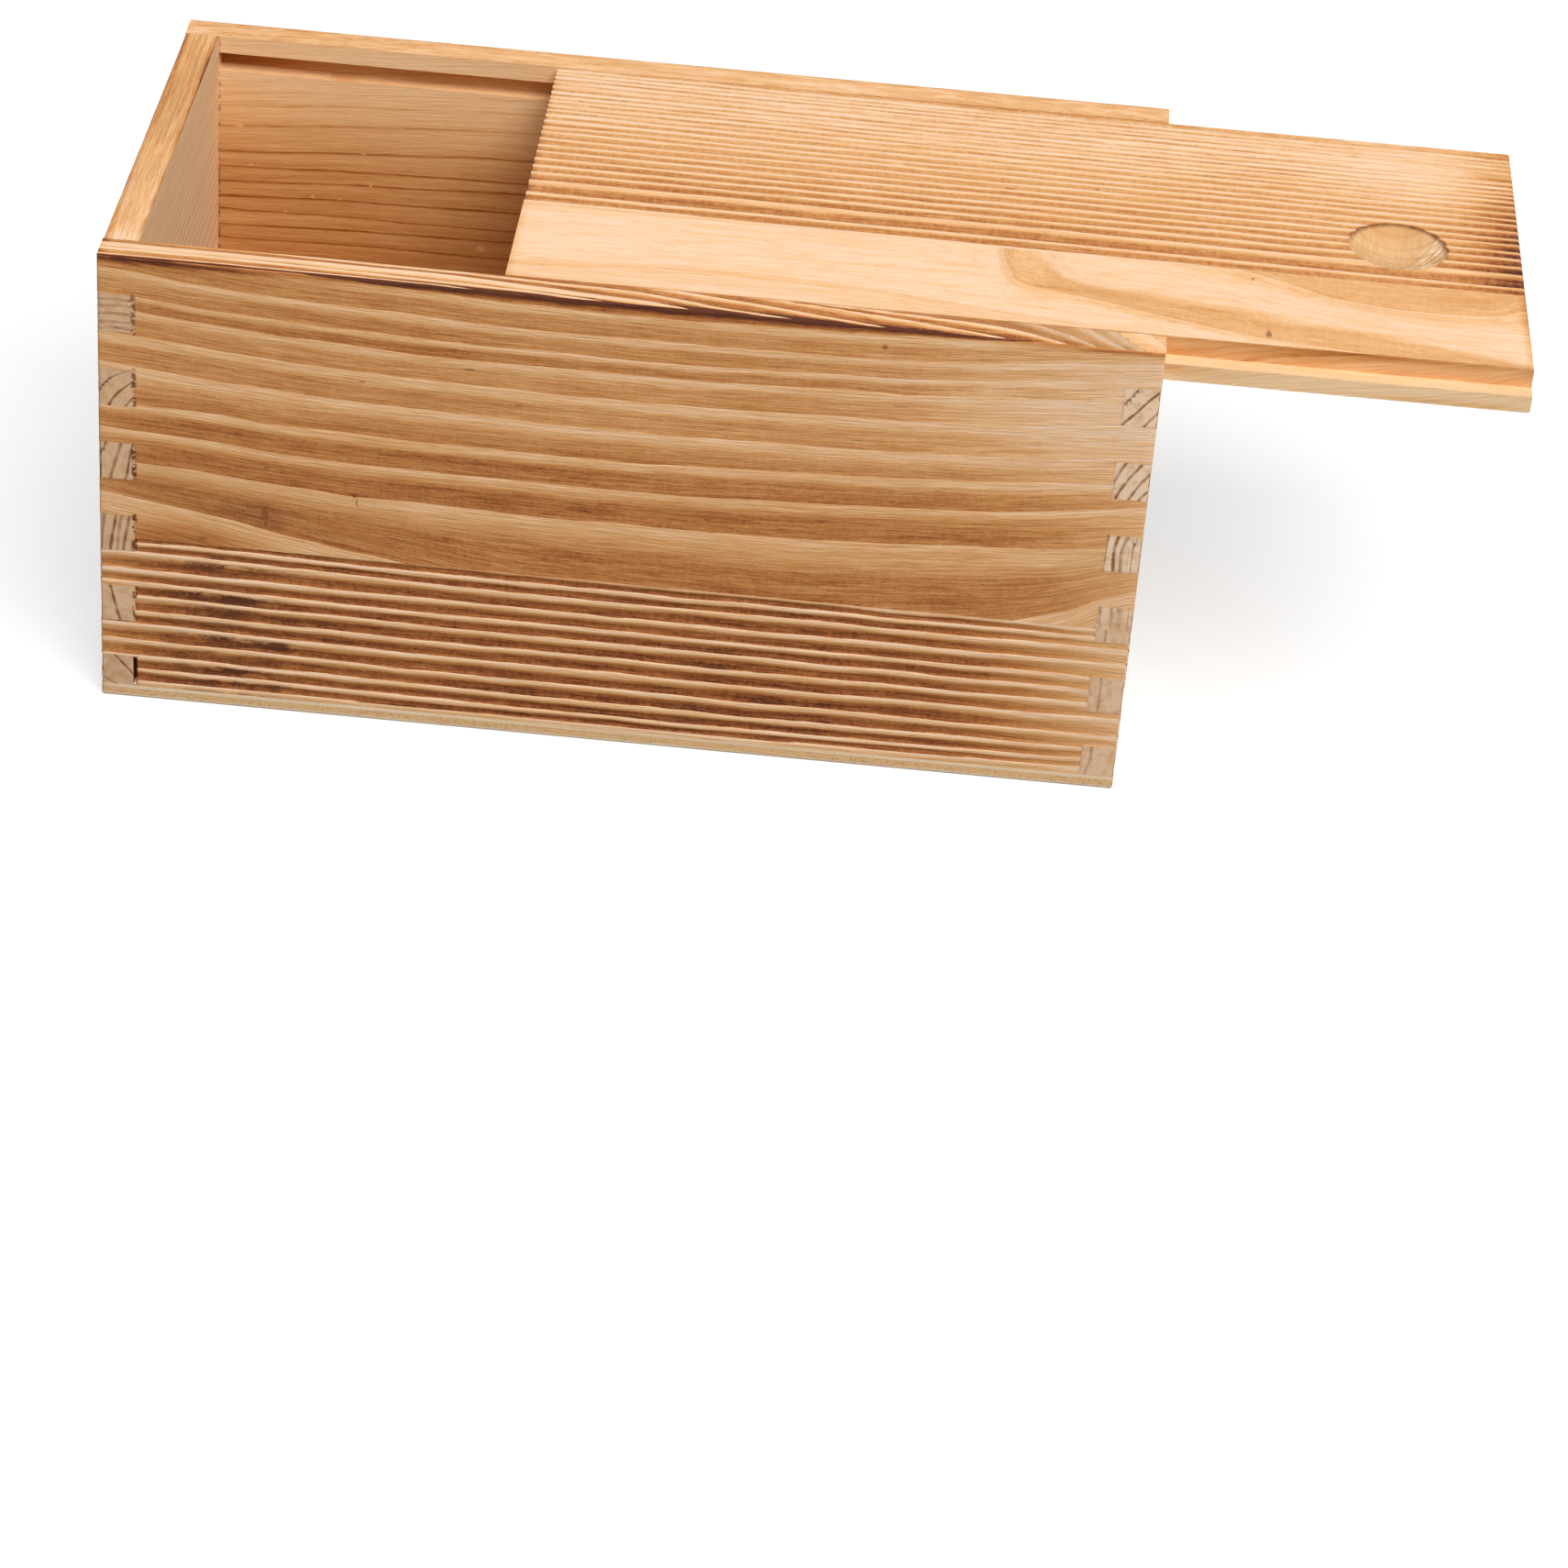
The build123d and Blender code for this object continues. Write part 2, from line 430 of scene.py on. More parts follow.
def end_board(name, node, outward):
    """One board of an end panel. outward is -1 for the closed end and 1 for the open end."""
    low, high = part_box(node)
    board = add_block(name, low, high)
    round_edges(board, outer_edges(0, outward * HALF_LENGTH))
    cut_blocks(board, side_notches(WALL_FINGERS))
    if high.z > CASE_TOP - TINY:
        cut_blocks(board, side_notches([(TOP_FINGER, CASE_TOP + OVERCUT)], GROOVE_Y))
        cut_blocks(board, side_notches([(TOP_FINGER, LEDGE_Z), (LIP_Z, CASE_TOP + OVERCUT)]))
    elif node == "closed_end_lower_board":
        cut_blocks(board, [OPEN_JOINT])
    levels = [level for band in END_FINGERS for level in band if low.z < level < high.z]
    widths = (WALL_INNER_Y, GROOVE_Y, HALF_WIDTH - SANDED)
    slices = (
        (outward * (HALF_LENGTH - SANDED), OPEN_JOINT[0][0]),
        (*(-width for width in reversed(widths)), 0, *widths),
        (*levels, LEDGE_Z, LIP_Z, CASE_TOP - SANDED),
    )
    faces = grid_board(board, slices, (THROUGH, ALONG, ACROSS))
    print(name, faces, "faces")
    return board


closed_upper = end_board("closed_end_upper_plank", "closed_end_upper_board", -1)
closed_lower = end_board("closed_end_lower_plank", "closed_end_lower_board", -1)
open_upper = end_board("open_end_upper_plank", "open_end_upper_board", 1)
open_lower = end_board("open_end_lower_plank", "open_end_lower_board", 1)

# %% [markdown]
# ## The lid
#
# The lid is one panel of two boards, with a thinner tongue along each side. The shoulder above the
# tongue is cut away with a block. The thumb recess is a shallow round dish: a large sphere is sunk
# into the rear board and taken out with a Boolean, after the fine grid is there, so its rim is
# round.

# %% Model the lid's boards
TONGUE_THICKNESS = 4.3 * MM
LID_SHOULDER_Y = place(WALL_INNER_Y - CLEARANCE)
LID_SHOULDER_Z = place(LID_UNDER + TONGUE_THICKNESS)
LID_IN_X = place(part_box("lid_front_board")[0].x)
LID_OUT_X = place(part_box("lid_front_board")[1].x)
DISH_INSET = 30 * MM
DISH_WIDTH = 24 * MM
DISH_DEPTH = 3.2 * MM
DISH_X = LID_OUT_X - DISH_INSET
DISH_RADIUS = ((DISH_WIDTH / 2) ** 2 + DISH_DEPTH ** 2) / (2 * DISH_DEPTH)
# The grid is closer over a stretch that is a little longer than the dish is wide
DISH_REACH = 0.55 * DISH_WIDTH
DISH_SPACING = 0.6 * MM


def lid_board(name, node, side):
    """One board of the lid. side is -1 for the front board and 1 for the rear board."""
    low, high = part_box(node)
    board = add_block(name, low, high)

    def sanded(start, end):
        outer = abs(start.x - LID_OUT_X) < TINY and abs(end.x - LID_OUT_X) < TINY
        return outer and abs(start.z - end.z) < TINY

    round_edges(board, sanded)
    shoulder = sorted((side * LID_SHOULDER_Y, side * HALF_WIDTH))
    cut_blocks(board, [((-1, shoulder[0], LID_SHOULDER_Z), (1, shoulder[1], CASE_TOP + OVERCUT))])
    near_dish = (DISH_X - DISH_REACH, DISH_X + DISH_REACH)
    slices = (
        (place((low.x + high.x) / 2), *near_dish, LID_OUT_X - SANDED),
        (side * LID_SHOULDER_Y,),
        (LID_UNDER + SANDED, LID_SHOULDER_Z, CASE_TOP - SANDED),
    )
    close = (near_dish, DISH_SPACING) if side > 0 else None
    faces = grid_board(board, slices, (ALONG, ACROSS, THROUGH), close)
    print(name, faces, "faces")
    return board


lid_front = lid_board("lid_front_plank", "lid_front_board", -1)
lid_rear = lid_board("lid_rear_plank", "lid_rear_board", 1)

dish_centre = (DISH_X, 0, CASE_TOP + DISH_RADIUS - DISH_DEPTH)
bpy.ops.mesh.primitive_uv_sphere_add(
    segments=240, ring_count=120, radius=DISH_RADIUS, location=dish_centre,
)
dish_ball = bpy.context.object
bpy.ops.object.transform_apply(location=True, rotation=True, scale=True)
cut_away(lid_rear, dish_ball)
print("lid_rear_plank with its dish:", len(lid_rear.data.polygons), "faces")

# %% [markdown]
# ## The base
#
# The base is one sheet of three-ply plywood under the whole box, with sanded lower edges. It
# starts as a cube, its edges are beveled, and it is sliced between the plies.

# %% Model the base
PLY_STEPS = (0.9 * MM, 2.6 * MM)
base_low, base_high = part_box("base")
base_sheet = add_block("plywood_base", base_low, base_high)


def base_sanded(start, end):
    """True for the upright edges and for those round the underside."""
    upright = abs(start.z - end.z) > TINY
    under = start.z < base_low.z + TINY and end.z < base_low.z + TINY
    return upright or under


round_edges(base_sheet, base_sanded)
base_slices = (
    (-HALF_LENGTH + SANDED, 0, HALF_LENGTH - SANDED),
    (-HALF_WIDTH + SANDED, 0, HALF_WIDTH - SANDED),
    (SANDED, *PLY_STEPS),
)
base_faces = grid_board(base_sheet, base_slices, (2 * MM, 2 * MM, 0.35 * MM))
print("plywood_base", base_faces, "faces")

# %% [markdown]
# ## Growth lines
#
# A tree adds a ring of pale early wood and a thin, hard line of late wood each year. A board is a
# slice through those rings, so what shows on its face is a family of lines that never cross. Here
# a figure is such a family: a few points are given along each line, in millimetres, and
# a smooth curve runs through them. Between two lines the ring coordinate rises by one. Colour and
# relief both read it, so a ridge and its colour can't drift apart.

# %% Curves through given points
def smooth_curve(points, along):
    """The height, at each place along the board, of a smooth curve through a few points. Between
    two points it never swings beyond them."""
    xs, ys = np.array(points, float).T
    steps = np.diff(ys) / np.diff(xs)
    before, after = steps[:-1], steps[1:]
    same_way = before * after > 0
    inner = np.where(same_way, 2 * before * after / np.where(same_way, before + after, 1.0), 0.0)
    slopes = np.concatenate((steps[:1], inner, steps[-1:]))
    inside = np.clip(along, xs[0], xs[-1])
    first = np.clip(np.searchsorted(xs, inside) - 1, 0, len(xs) - 2)
    span = xs[first + 1] - xs[first]
    t = (inside - xs[first]) / span
    rise = ys[first + 1] - ys[first]
    start, end = slopes[first] * span, slopes[first + 1] * span
    curve = ys[first] + t * start + t**2 * (3 * rise - 2 * start - end) + t**3 * (start + end - 2 * rise)
    beyond = along - inside
    return curve + beyond * np.where(beyond < 0, slopes[0], slopes[-1])


def soft_noise(across, along, seed):
    """Seeded smooth noise from -1 to 1 over two coordinates, with about one bump per unit."""
    table = np.random.default_rng(seed).uniform(-1, 1, (97, 89))
    a0, b0 = np.floor(across).astype(int), np.floor(along).astype(int)
    fa, fb = across - a0, along - b0
    fa, fb = fa * fa * (3 - 2 * fa), fb * fb * (3 - 2 * fb)
    rows = (a0 % 97, (a0 + 1) % 97)
    columns = (b0 % 89, (b0 + 1) % 89)
    near = table[rows[0], columns[0]] * (1 - fb) + table[rows[0], columns[1]] * fb
    far = table[rows[1], columns[0]] * (1 - fb) + table[rows[1], columns[1]] * fb
    return near * (1 - fa) + far * fa


print("a curve that levels out:", smooth_curve([(0, 0), (10, 2), (20, 2)], np.array([5.0, 15.0])))

# %% What is read from growth lines
# How far the outermost rings go on beyond the first and the last line, how close two lines may
# come, and the width of the pale ridge beyond the last line, all in mm
OUTER_RING = 20.0
LEAST_RING = 0.3
LAST_RIDGE = 1.2
Line = namedtuple("Line", "burn ridge points")
Grain = namedtuple("Grain", "ring width ridge burn flow")


def line(burn, ridge, *points):
    """A growth line: how dark the flame left the wood above it, from 0 to 1, the width of the
    pale ridge below it in mm, and its (along, height) points in mm."""
    return Line(burn, ridge, points)


def line_heights(lines, along):
    """The heights of all the lines at each place along the board, the lowest first."""
    curves = [smooth_curve(each.points, along) for each in lines]
    for upper in range(1, len(curves)):
        curves[upper] = np.maximum(curves[upper], curves[upper - 1] + LEAST_RING)
    return np.vstack((curves[0] - OUTER_RING, *curves, curves[-1] + OUTER_RING))


def read_lines(lines, along, height, waver=0.25, seed=1, home=0.0):
    """The grain at each place of a face: its ring, that ring's width, ridge and burn, and its
    flow, which is the height at which the place's fibre passes home."""
    wavy = height + waver * soft_noise(height / 3, along / 17, seed)
    wavy = wavy + 0.4 * waver * soft_noise(height / 1.5, along / 5, seed + 1)
    curves = line_heights(lines, along)
    at_home = line_heights(lines, np.array([home]))[:, 0]
    column = np.arange(len(along))
    widths = np.diff(curves, axis=0)
    last = len(widths) - 1
    below = np.clip((curves <= wavy).sum(axis=0) - 1, 0, last)
    share = (wavy - curves[below, column]) / widths[below, column]
    width = widths[below, column]
    ridges = np.array([each.ridge for each in lines] + [LAST_RIDGE])
    burns = np.array([0.0] + [each.burn for each in lines])
    fade = np.clip((share - 0.6) / 0.4, 0, 1)
    burn = burns[below] * (1 - fade) + burns[np.clip(below + 1, 0, last)] * fade
    flow = at_home[below] * (1 - share) + at_home[below + 1] * share
    return Grain(below - 1 + share, width, ridges[below], burn, flow)


two_lines = [line(1.0, 1.0, (0, 0), (10, 0)), line(1.0, 1.0, (0, 4), (10, 4))]
print("halfway between two lines:", read_lines(two_lines, np.array([5.0]), np.array([2.0])))

# %% [markdown]
# ## The front wall's figure
#
# The upper board was sawn flat to the rings, so its lines lie far apart and swing up towards both
# ends. The lower board was sawn square to them: its lines are close, straight and deeply burnt.
# All points were given one by one.

# %% The front wall's lines
FRONT_UPPER_LINES = [
    line(0.74, 4.0, (-125, 58.5), (-100, 54.5), (-75, 50), (-55, 46.5), (-20, 41), (40, 40), (80, 43),
         (97, 46), (108, 49.3), (117, 54), (125, 57)),
    line(0.70, 2.6, (-125, 67.5), (-100, 66), (-80, 64.5), (-60, 63.2), (0, 62.4), (40, 62.6),
         (60, 63.7), (80, 65), (100, 66.3), (125, 69)),
    line(0.70, 1.8, (-125, 76.5), (-100, 74.7), (-80, 73), (-60, 72), (0, 71.8), (40, 73), (80, 75),
         (100, 76.8), (125, 80.5)),
    line(0.52, 2.4, (-125, 83), (-100, 82.3), (-80, 80.7), (0, 79.5), (40, 81), (80, 83), (125, 87)),
    line(0.42, 5.0, (-125, 94.5), (-100, 91.5), (-60, 89), (0, 88), (60, 89), (125, 94)),
    line(0.42, 3.0, (-125, 102), (-60, 97.3), (0, 96), (60, 97.5), (125, 102.3)),
    line(0.62, 2.0, (-125, 109), (-80, 105), (-40, 103.4), (0, 103.2), (60, 104.7), (125, 109)),
    line(0.50, 1.6, (-125, 112.5), (-80, 109), (-40, 107.6), (0, 107.2), (60, 108.6), (125, 114.5)),
    line(0.52, 2.0, (-125, 119), (-80, 115), (0, 112.7), (60, 113.7), (125, 119)),
    line(0.52, 1.8, (-125, 125), (-60, 120.8), (0, 119), (60, 120), (125, 124)),
]
# The heights of the lower board's lines at its left end, its middle and its right end
FRONT_LOWER_HEIGHTS = (
    (5.2, 4.8, 5.8), (8.8, 7.5, 8.2), (12.5, 11.1, 11.5), (16.9, 15.3, 15.3), (21.5, 20.0, 20.3),
    (25.3, 24.3, 24.4), (29.6, 28.4, 28.2), (33.3, 32.1, 31.9), (37.2, 36.1, 36.1), (42.1, 40.3, 40.3),
    (44.8, 43.4, 43.2), (47.6, 46.3, 45.6),
)
FRONT_LOWER_LINES = [
    line(1.0, 1.15, (-115, left), (-40, (left + 3 * middle) / 4), (30, middle), (115, right))
    for left, middle, right in FRONT_LOWER_HEIGHTS
]
print(len(FRONT_UPPER_LINES), "lines above the seam and", len(FRONT_LOWER_LINES), "below it")

# %% The lines on the front wall's top edge
FRONT_TOP_LINES = [
    line(0.95, 0.3, (-125, -64.9), (-100, -64.8), (-50, -65.3), (-20, -67)),
    line(0.5, 0.45, (-125, -63.6), (-100, -63.5), (-50, -64.1), (-20, -66)),
    line(0.5, 1.2, (-120, -60.5), (-100, -60.5), (-50, -62), (-25, -62.9), (-10, -64.3)),
    line(0.75, 2.4, (-120, -58.0), (-50, -58.6), (-20, -60.7), (-5, -62.1), (5, -62.9), (15, -64.9)),
    line(0.8, 0.9, (-25, -57.7), (0, -58.5), (10, -60.2), (20, -62.4), (40, -64.9)),
    line(0.8, 0.9, (17, -57.4), (35, -60.2), (50, -63.1), (68, -65.9)),
    line(0.75, 0.9, (45, -57.6), (65, -60.3), (75, -62), (92, -65.6)),
    line(0.65, 0.9, (72, -58.1), (83, -58.9), (90, -60.3), (96, -62.3), (103, -65.3)),
    line(0.55, 0.8, (98, -58.4), (103, -60.9), (110, -65.6)),
    line(0.4, 0.8, (109, -58.4), (113, -62.3), (117, -65.6)),
    line(0.3, 0.8, (114, -58.4), (117, -62.6), (121, -65.6)),
    line(0.3, 0.8, (122, -58.4), (125, -62.3)),
]
print(len(FRONT_TOP_LINES), "lines on the top edge")

# %% [markdown]
# ## The lid's figure
#
# The rear board has close, even lines that run a little askew to the box. The front board is
# almost plain: pale wood with two long flame shapes, where the rings only just reach the face.

# %% The lid's lines
LID_REAR_HEIGHTS = (
    -17, -13, -6.2, -2, 1.9, 5.6, 9.5, 12.8, 16.5, 20.3, 23, 26.6, 30, 32.6, 35.3, 37.8, 40.3, 42.8,
    46, 48.8, 51.2, 53.3, 55.4,
)
LID_REAR_LINES = [
    line(min(0.86, max(0.54, 0.80 - 0.007 * height)), 1.0, (-30, height), (30, height - 0.8),
         (90, height - 1.5), (210, height - 3))
    for height in LID_REAR_HEIGHTS
]
LID_FRONT_LINES = [
    line(0.22, 1.0, (-30, -51), (10, -48), (30, -47.5), (60, -49.5), (90, -53), (150, -62), (210, -68)),
    line(0.00, 1.0, (-30, -46), (10, -43.5), (30, -43.5), (60, -46.5), (90, -51.5), (150, -60), (210, -67)),
    line(0.54, 1.0, (85.5, -18), (87.5, -33), (91, -37), (110, -42), (130, -48.5), (150, -53.5),
         (180, -56.5), (210, -59)),
    line(0.02, 1.0, (80, -2), (92, -12), (97, -22), (100, -29), (106, -32.5), (120, -34.5), (140, -37.5),
         (160, -42), (190, -48), (210, -54)),
    line(0.52, 1.0, (120, -12), (143, -20), (155, -25), (165, -30), (185, -33), (200, -32), (210, -28)),
]
print(len(LID_REAR_LINES), "straight lines behind and", len(LID_FRONT_LINES), "lines of flames in front")

# %% [markdown]
# ## The back wall's figure
#
# The picture shows this wall's inside. Its late lines lie far apart low down and close together
# and dark further up, and all of them climb a little to the right. They are listed from below,
# with the height at both ends of their slope. The outside isn't shown, so it gets a figure like
# the front wall's: a flat-sawn board over a quarter-sawn one.

# %% The back wall's lines, inside and out
BACK_INSIDE_LINES = [
    line(burn, 1.2, (-115, start), (-78, (start + end) / 2 + 0.3), (-40, end), (115, end + 4))
    for burn, start, end in (
        (0.8, 20, 22), (0.8, 31, 33), (0.8, 40, 43), (0.8, 49, 51), (0.8, 57, 59), (0.8, 65.3, 66.3),
        (0.9, 69, 71), (0.9, 73.5, 74.3), (1.0, 77.3, 79.8), (1.0, 81.5, 85.3), (0.9, 86, 88.3),
        (0.9, 90, 95), (0.6, 97.3, 102.7), (0.4, 103, 108), (0.35, 106.5, 112), (0.35, 110, 116),
    )
]
BACK_UPPER_LINES = [
    line(burn, ridge, (-125, centre + sweep), (-50, centre + 1), (10, centre), (70, centre + 2),
         (125, centre + sweep))
    for burn, ridge, centre, sweep in (
        (0.9, 6.0, 49, 9), (0.85, 2.2, 59, 8), (0.7, 1.8, 66, 8), (0.8, 2.6, 74, 8), (0.6, 3.5, 82.5, 8),
        (0.7, 2.0, 90, 7), (0.6, 3.0, 97, 7), (0.75, 1.8, 104, 6.5), (0.6, 1.6, 109.5, 6), (0.6, 2, 115, 6),
    )
]
BACK_LOWER_LINES = [
    line(1.0, 1.3, (-115, height + 0.7), (-20, height), (60, height - 0.2), (115, height + 0.9))
    for height in (6, 9.6, 12.7, 16.9, 20.6, 24.9, 28.2, 32.4, 35.9, 40.1, 43.6, 46.8)
]
print(len(BACK_INSIDE_LINES), "lines inside,", len(BACK_UPPER_LINES + BACK_LOWER_LINES), "outside")

# %% [markdown]
# ## The end panels' figures
#
# Of these panels the picture shows the fingers' ends and the closed end's top. Each finger's end
# is a small square out of the rings of one board. It could have arcs of its own, but on the real
# box they line up from finger to finger. So the arcs are placed once for the board's whole height,
# and each finger shows its own part of them.

# %% The end panels' lines, seen on their fingers' ends and on the closed end's top
# These run steeply, so their points are (height, X) in mm
CLOSED_LOWER_ENDS = [
    line(1.0, 1.0, (0, -118.3), (3.5, -121.2), (7.5, -124.6), (12, -128.6)),
    line(0.9, 1.0, (3, -114), (7, -117.5), (11.7, -121.5), (20, -127)),
    line(0.9, 1.0, (10, -113), (22, -120), (30.2, -122.2), (37, -123.6)),
]
CLOSED_UPPER_ENDS = [
    line(0.9, 1.0, (30, -160), (85.5, -125), (89.5, -122), (91.5, -118), (95, -108)),
    line(0.9, 1.0, (37, -134), (68, -125), (71.5, -123.5), (82.2, -122.5), (86, -120), (88.5, -117),
         (92, -112)),
    line(0.7, 1.0, (37, -124.8), (51.5, -123.8), (62.5, -122.3), (71.5, -120), (82, -118.5), (84, -117)),
    line(0.9, 1.0, (37, -123), (42.5, -122.5), (51.5, -121), (62.3, -118.5), (70, -117), (80, -114)),
    line(0.4, 1.0, (37, -121.2), (42.5, -120.8), (51.5, -119.6), (62.3, -116.5), (70, -115)),
    line(0.9, 1.0, (37, -120), (42.5, -119.4), (51.5, -117.8), (60, -116), (70, -113)),
    line(0.5, 1.0, (37, -117.5), (42.5, -117.1), (51.5, -116.2), (60, -114)),
]
# The top finger's lines lie flat: (X, height)
CLOSED_TOP_FINGER = [
    line(burn, 1.0, (-125, height), (-120, height + 0.2), (-116.5, height))
    for burn, height in ((0.6, 102.6), (0.4, 104.2), (0.5, 106.4), (0.3, 108.6), (0.6, 110.5))
]
OPEN_LOWER_ENDS = [
    line(0.5, 1.0, (3.5, 117.6), (9, 118.8), (11, 118.7), (22, 119.2), (31, 119.3), (37, 119.2)),
    line(0.1, 1.0, (3.5, 127), (37, 128)),
]
OPEN_UPPER_ENDS = [
    line(0.9, 1.0, (45, 92), (96, 112), (107, 117), (111, 119.5), (114, 121.5)),
    line(0.9, 1.0, (45, 97), (92, 112.5), (102, 117), (111.5, 124.8), (114, 127)),
    line(0.9, 1.0, (45, 103), (92, 115.5), (102, 122), (106, 125), (114, 131)),
    line(0.8, 1.0, (45, 110), (76, 114), (87.5, 117), (91.5, 118.7), (101, 125.5), (106, 129)),
    line(0.9, 1.0, (45, 115), (72, 115.2), (81.8, 117.2), (87, 119.5), (91.5, 122.5), (98, 127)),
    line(0.9, 1.0, (45, 117.4), (62, 116.4), (71.5, 116.9), (81.8, 120.3), (89.5, 124.8), (95, 129)),
    line(0.9, 1.0, (45, 120.2), (62, 119), (67, 118.7), (71.3, 119.3), (82, 123), (85, 125), (90, 129)),
    line(0.5, 1.0, (45, 121.8), (62, 120.7), (67, 120.5), (71.3, 121.4), (80, 125)),
    line(0.9, 1.0, (45, 123.6), (62.5, 122.3), (67, 122.3), (71.5, 123), (80, 127)),
]
# On the closed end's top the lines run along Y: (Y, X)
CLOSED_TOP_LINES = [
    line(burn, 0.8, (-65, x + 0.5), (-20, x), (20, x + 0.3), (65, x - 0.5))
    for burn, x in (
        (0.15, -124.3), (0.0, -122.4), (0.05, -121.1), (0.1, -119.4), (0.0, -118.2), (0.15, -117.2),
    )
]
print(len(CLOSED_UPPER_ENDS), "and", len(OPEN_UPPER_ENDS), "arcs through the upper boards' fingers")

# %% [markdown]
# ## The boards as fields
#
# A line on the face goes on into the wood, so the same family of lines also gives the end grain,
# the groove and the dish. On the long walls and the lid the lines simply lean as they go in. The
# end panels are read from their ends: there the rings are arcs, and along the panel they
# hardly change.

# %% Fields made from growth lines
def mm_columns(points):
    """The x, y and z columns of an array of points, in millimetres."""
    return points[:, 0] / MM, points[:, 1] / MM, points[:, 2] / MM


def wall_field(lines, outward, lean, seed):
    """The grain anywhere in a long wall's board."""
    def field(points):
        x, y, z = mm_columns(points)
        depth = HALF_WIDTH / MM - outward * y
        return read_lines(lines, x, z + lean * depth, seed=seed)
    return field


def lid_field(lines, lean, seed, home=0.0):
    """The grain anywhere in a board of the lid."""
    def field(points):
        x, y, z = mm_columns(points)
        depth = CASE_TOP / MM - z
        return read_lines(lines, x, y + lean * depth, seed=seed, home=home)
    return field


def top_field(lines, along_axis, waver, seed):
    """The grain on a wall's top edge, where it runs along X (axis 0) or Y (axis 1)."""
    def field(points):
        columns = mm_columns(points)
        return read_lines(lines, columns[along_axis], columns[1 - along_axis], waver=waver, seed=seed)
    return field


def finger_field(lines, seed, flat_lines=(), flat_above=999):
    """The grain on the ends of an end panel's fingers: steep lines, and flat ones higher up."""
    def field(points):
        x, _, z = mm_columns(points)
        steep = read_lines(lines, z, x, waver=0.3, seed=seed)
        if not flat_lines:
            return steep
        flat = read_lines(flat_lines, x, z, waver=0.3, seed=seed)
        return Grain(*(np.where(z > flat_above, above, below) for above, below in zip(flat, steep)))
    return field

# %% One grain field for each board
def leaning_field(middle, rate, bend, lean, outward, burn, seed):
    """The grain in an end panel whose rings stand upright at one height and lean over above it."""
    def field(points):
        x, y, z = mm_columns(points)
        depth = HALF_LENGTH / MM - outward * x
        up = z - middle + 2.5 * soft_noise(y / 45, z / 60, seed)
        up = up + 0.5 * soft_noise(y / 11, z / 9, seed + 1)
        ring = 0.3 - bend * up**2 + depth * (rate - lean * up)
        steepness = np.hypot(2 * bend * up + lean * depth, rate - lean * up)
        width = 1 / np.maximum(steepness, 0.05)
        return Grain(ring, width, 0.25 * width + 0.4, np.full(len(z), burn), z + x)
    return field


FRONT_UPPER_FIELD = wall_field(FRONT_UPPER_LINES, -1, 0.33, seed=11)
FRONT_LOWER_FIELD = wall_field(FRONT_LOWER_LINES, -1, 0.12, seed=12)
BACK_UPPER_FIELD = wall_field(BACK_UPPER_LINES, 1, 0.33, seed=13)
BACK_LOWER_FIELD = wall_field(BACK_LOWER_LINES, 1, -0.15, seed=14)
BACK_INSIDE_FIELD = wall_field(BACK_INSIDE_LINES, 1, 0.0, seed=15)
LID_REAR_FIELD = lid_field(LID_REAR_LINES, 1.1, seed=16)
LID_FRONT_FIELD = lid_field(LID_FRONT_LINES, 0.8, seed=17, home=150.0)
CLOSED_UPPER_FIELD = leaning_field(47, 0.5, 0.00333, 0.0074, -1, 0.8, seed=18)
CLOSED_LOWER_FIELD = leaning_field(25, 0.3, -0.004, -0.008, -1, 0.9, seed=19)
OPEN_UPPER_FIELD = leaning_field(66, 0.3, -0.0034, -0.004, 1, 0.8, seed=20)
OPEN_LOWER_FIELD = leaning_field(22, 0.18, 0.004, 0.004, 1, 0.9, seed=21)

# One place in the middle of the front wall's face, to try the next helpers on
SAMPLE = np.array([[0.0, -HALF_WIDTH, 80 * MM]])
print("ring at the sample place:", FRONT_UPPER_FIELD(SAMPLE).ring.round(2))

# %% [markdown]
# ## Skins
#
# Each board has a few skins: its scorched face, its planed sides and its sawn ends. A skin says
# where it lies, which field and material it takes, and how deep the brush sank the soft wood.
# The grain is written on the corners of the faces, so that two skins can meet at a sharp edge
# without blending. After that the relief moves the points inwards, never out of the board.

# %% What a skin holds
FLAMED, PLANED, SAWN, TORN = 0, 1, 2, 3
# look: how much paler a ridge is, how far up the ring the scorch reaches, and how streaky it is.
# depth: how far under the level, in mm, the skin's faces may lie. where: a test of their place.
Skin = namedtuple("Skin", "axis outward level field finish tone relief look depth where")
# A stroke of the flame or of soot: its middle, its two reaches, all in mm, and its strength
Stroke = namedtuple("Stroke", "along height reach rise strength")
USUAL_LOOK = (0.5, 0.5, 1.0)


def skin(axis, outward, level, field, finish, tone, relief=0.0, look=USUAL_LOOK, depth=0.65,
         where=None):
    """A skin with the usual look where none is given."""
    return Skin(axis, outward, level, field, finish, tone, relief, look, depth, where)


def brushed(strokes, along, height):
    """The sum of soft strokes at each place."""
    total = np.zeros(len(along))
    for stroke in strokes:
        off = ((along - stroke.along) / stroke.reach) ** 2 + ((height - stroke.height) / stroke.rise) ** 2
        total += stroke.strength * np.exp(-off)
    return total


print("a skin holds:", *Skin._fields)

# %% Distances to the joints
# In mm: the distance that stands for far from every joint, and how far a finger's outline goes
# on beyond the box, so that its end makes no joint line
FAR = 50.0
BEYOND = 9.0


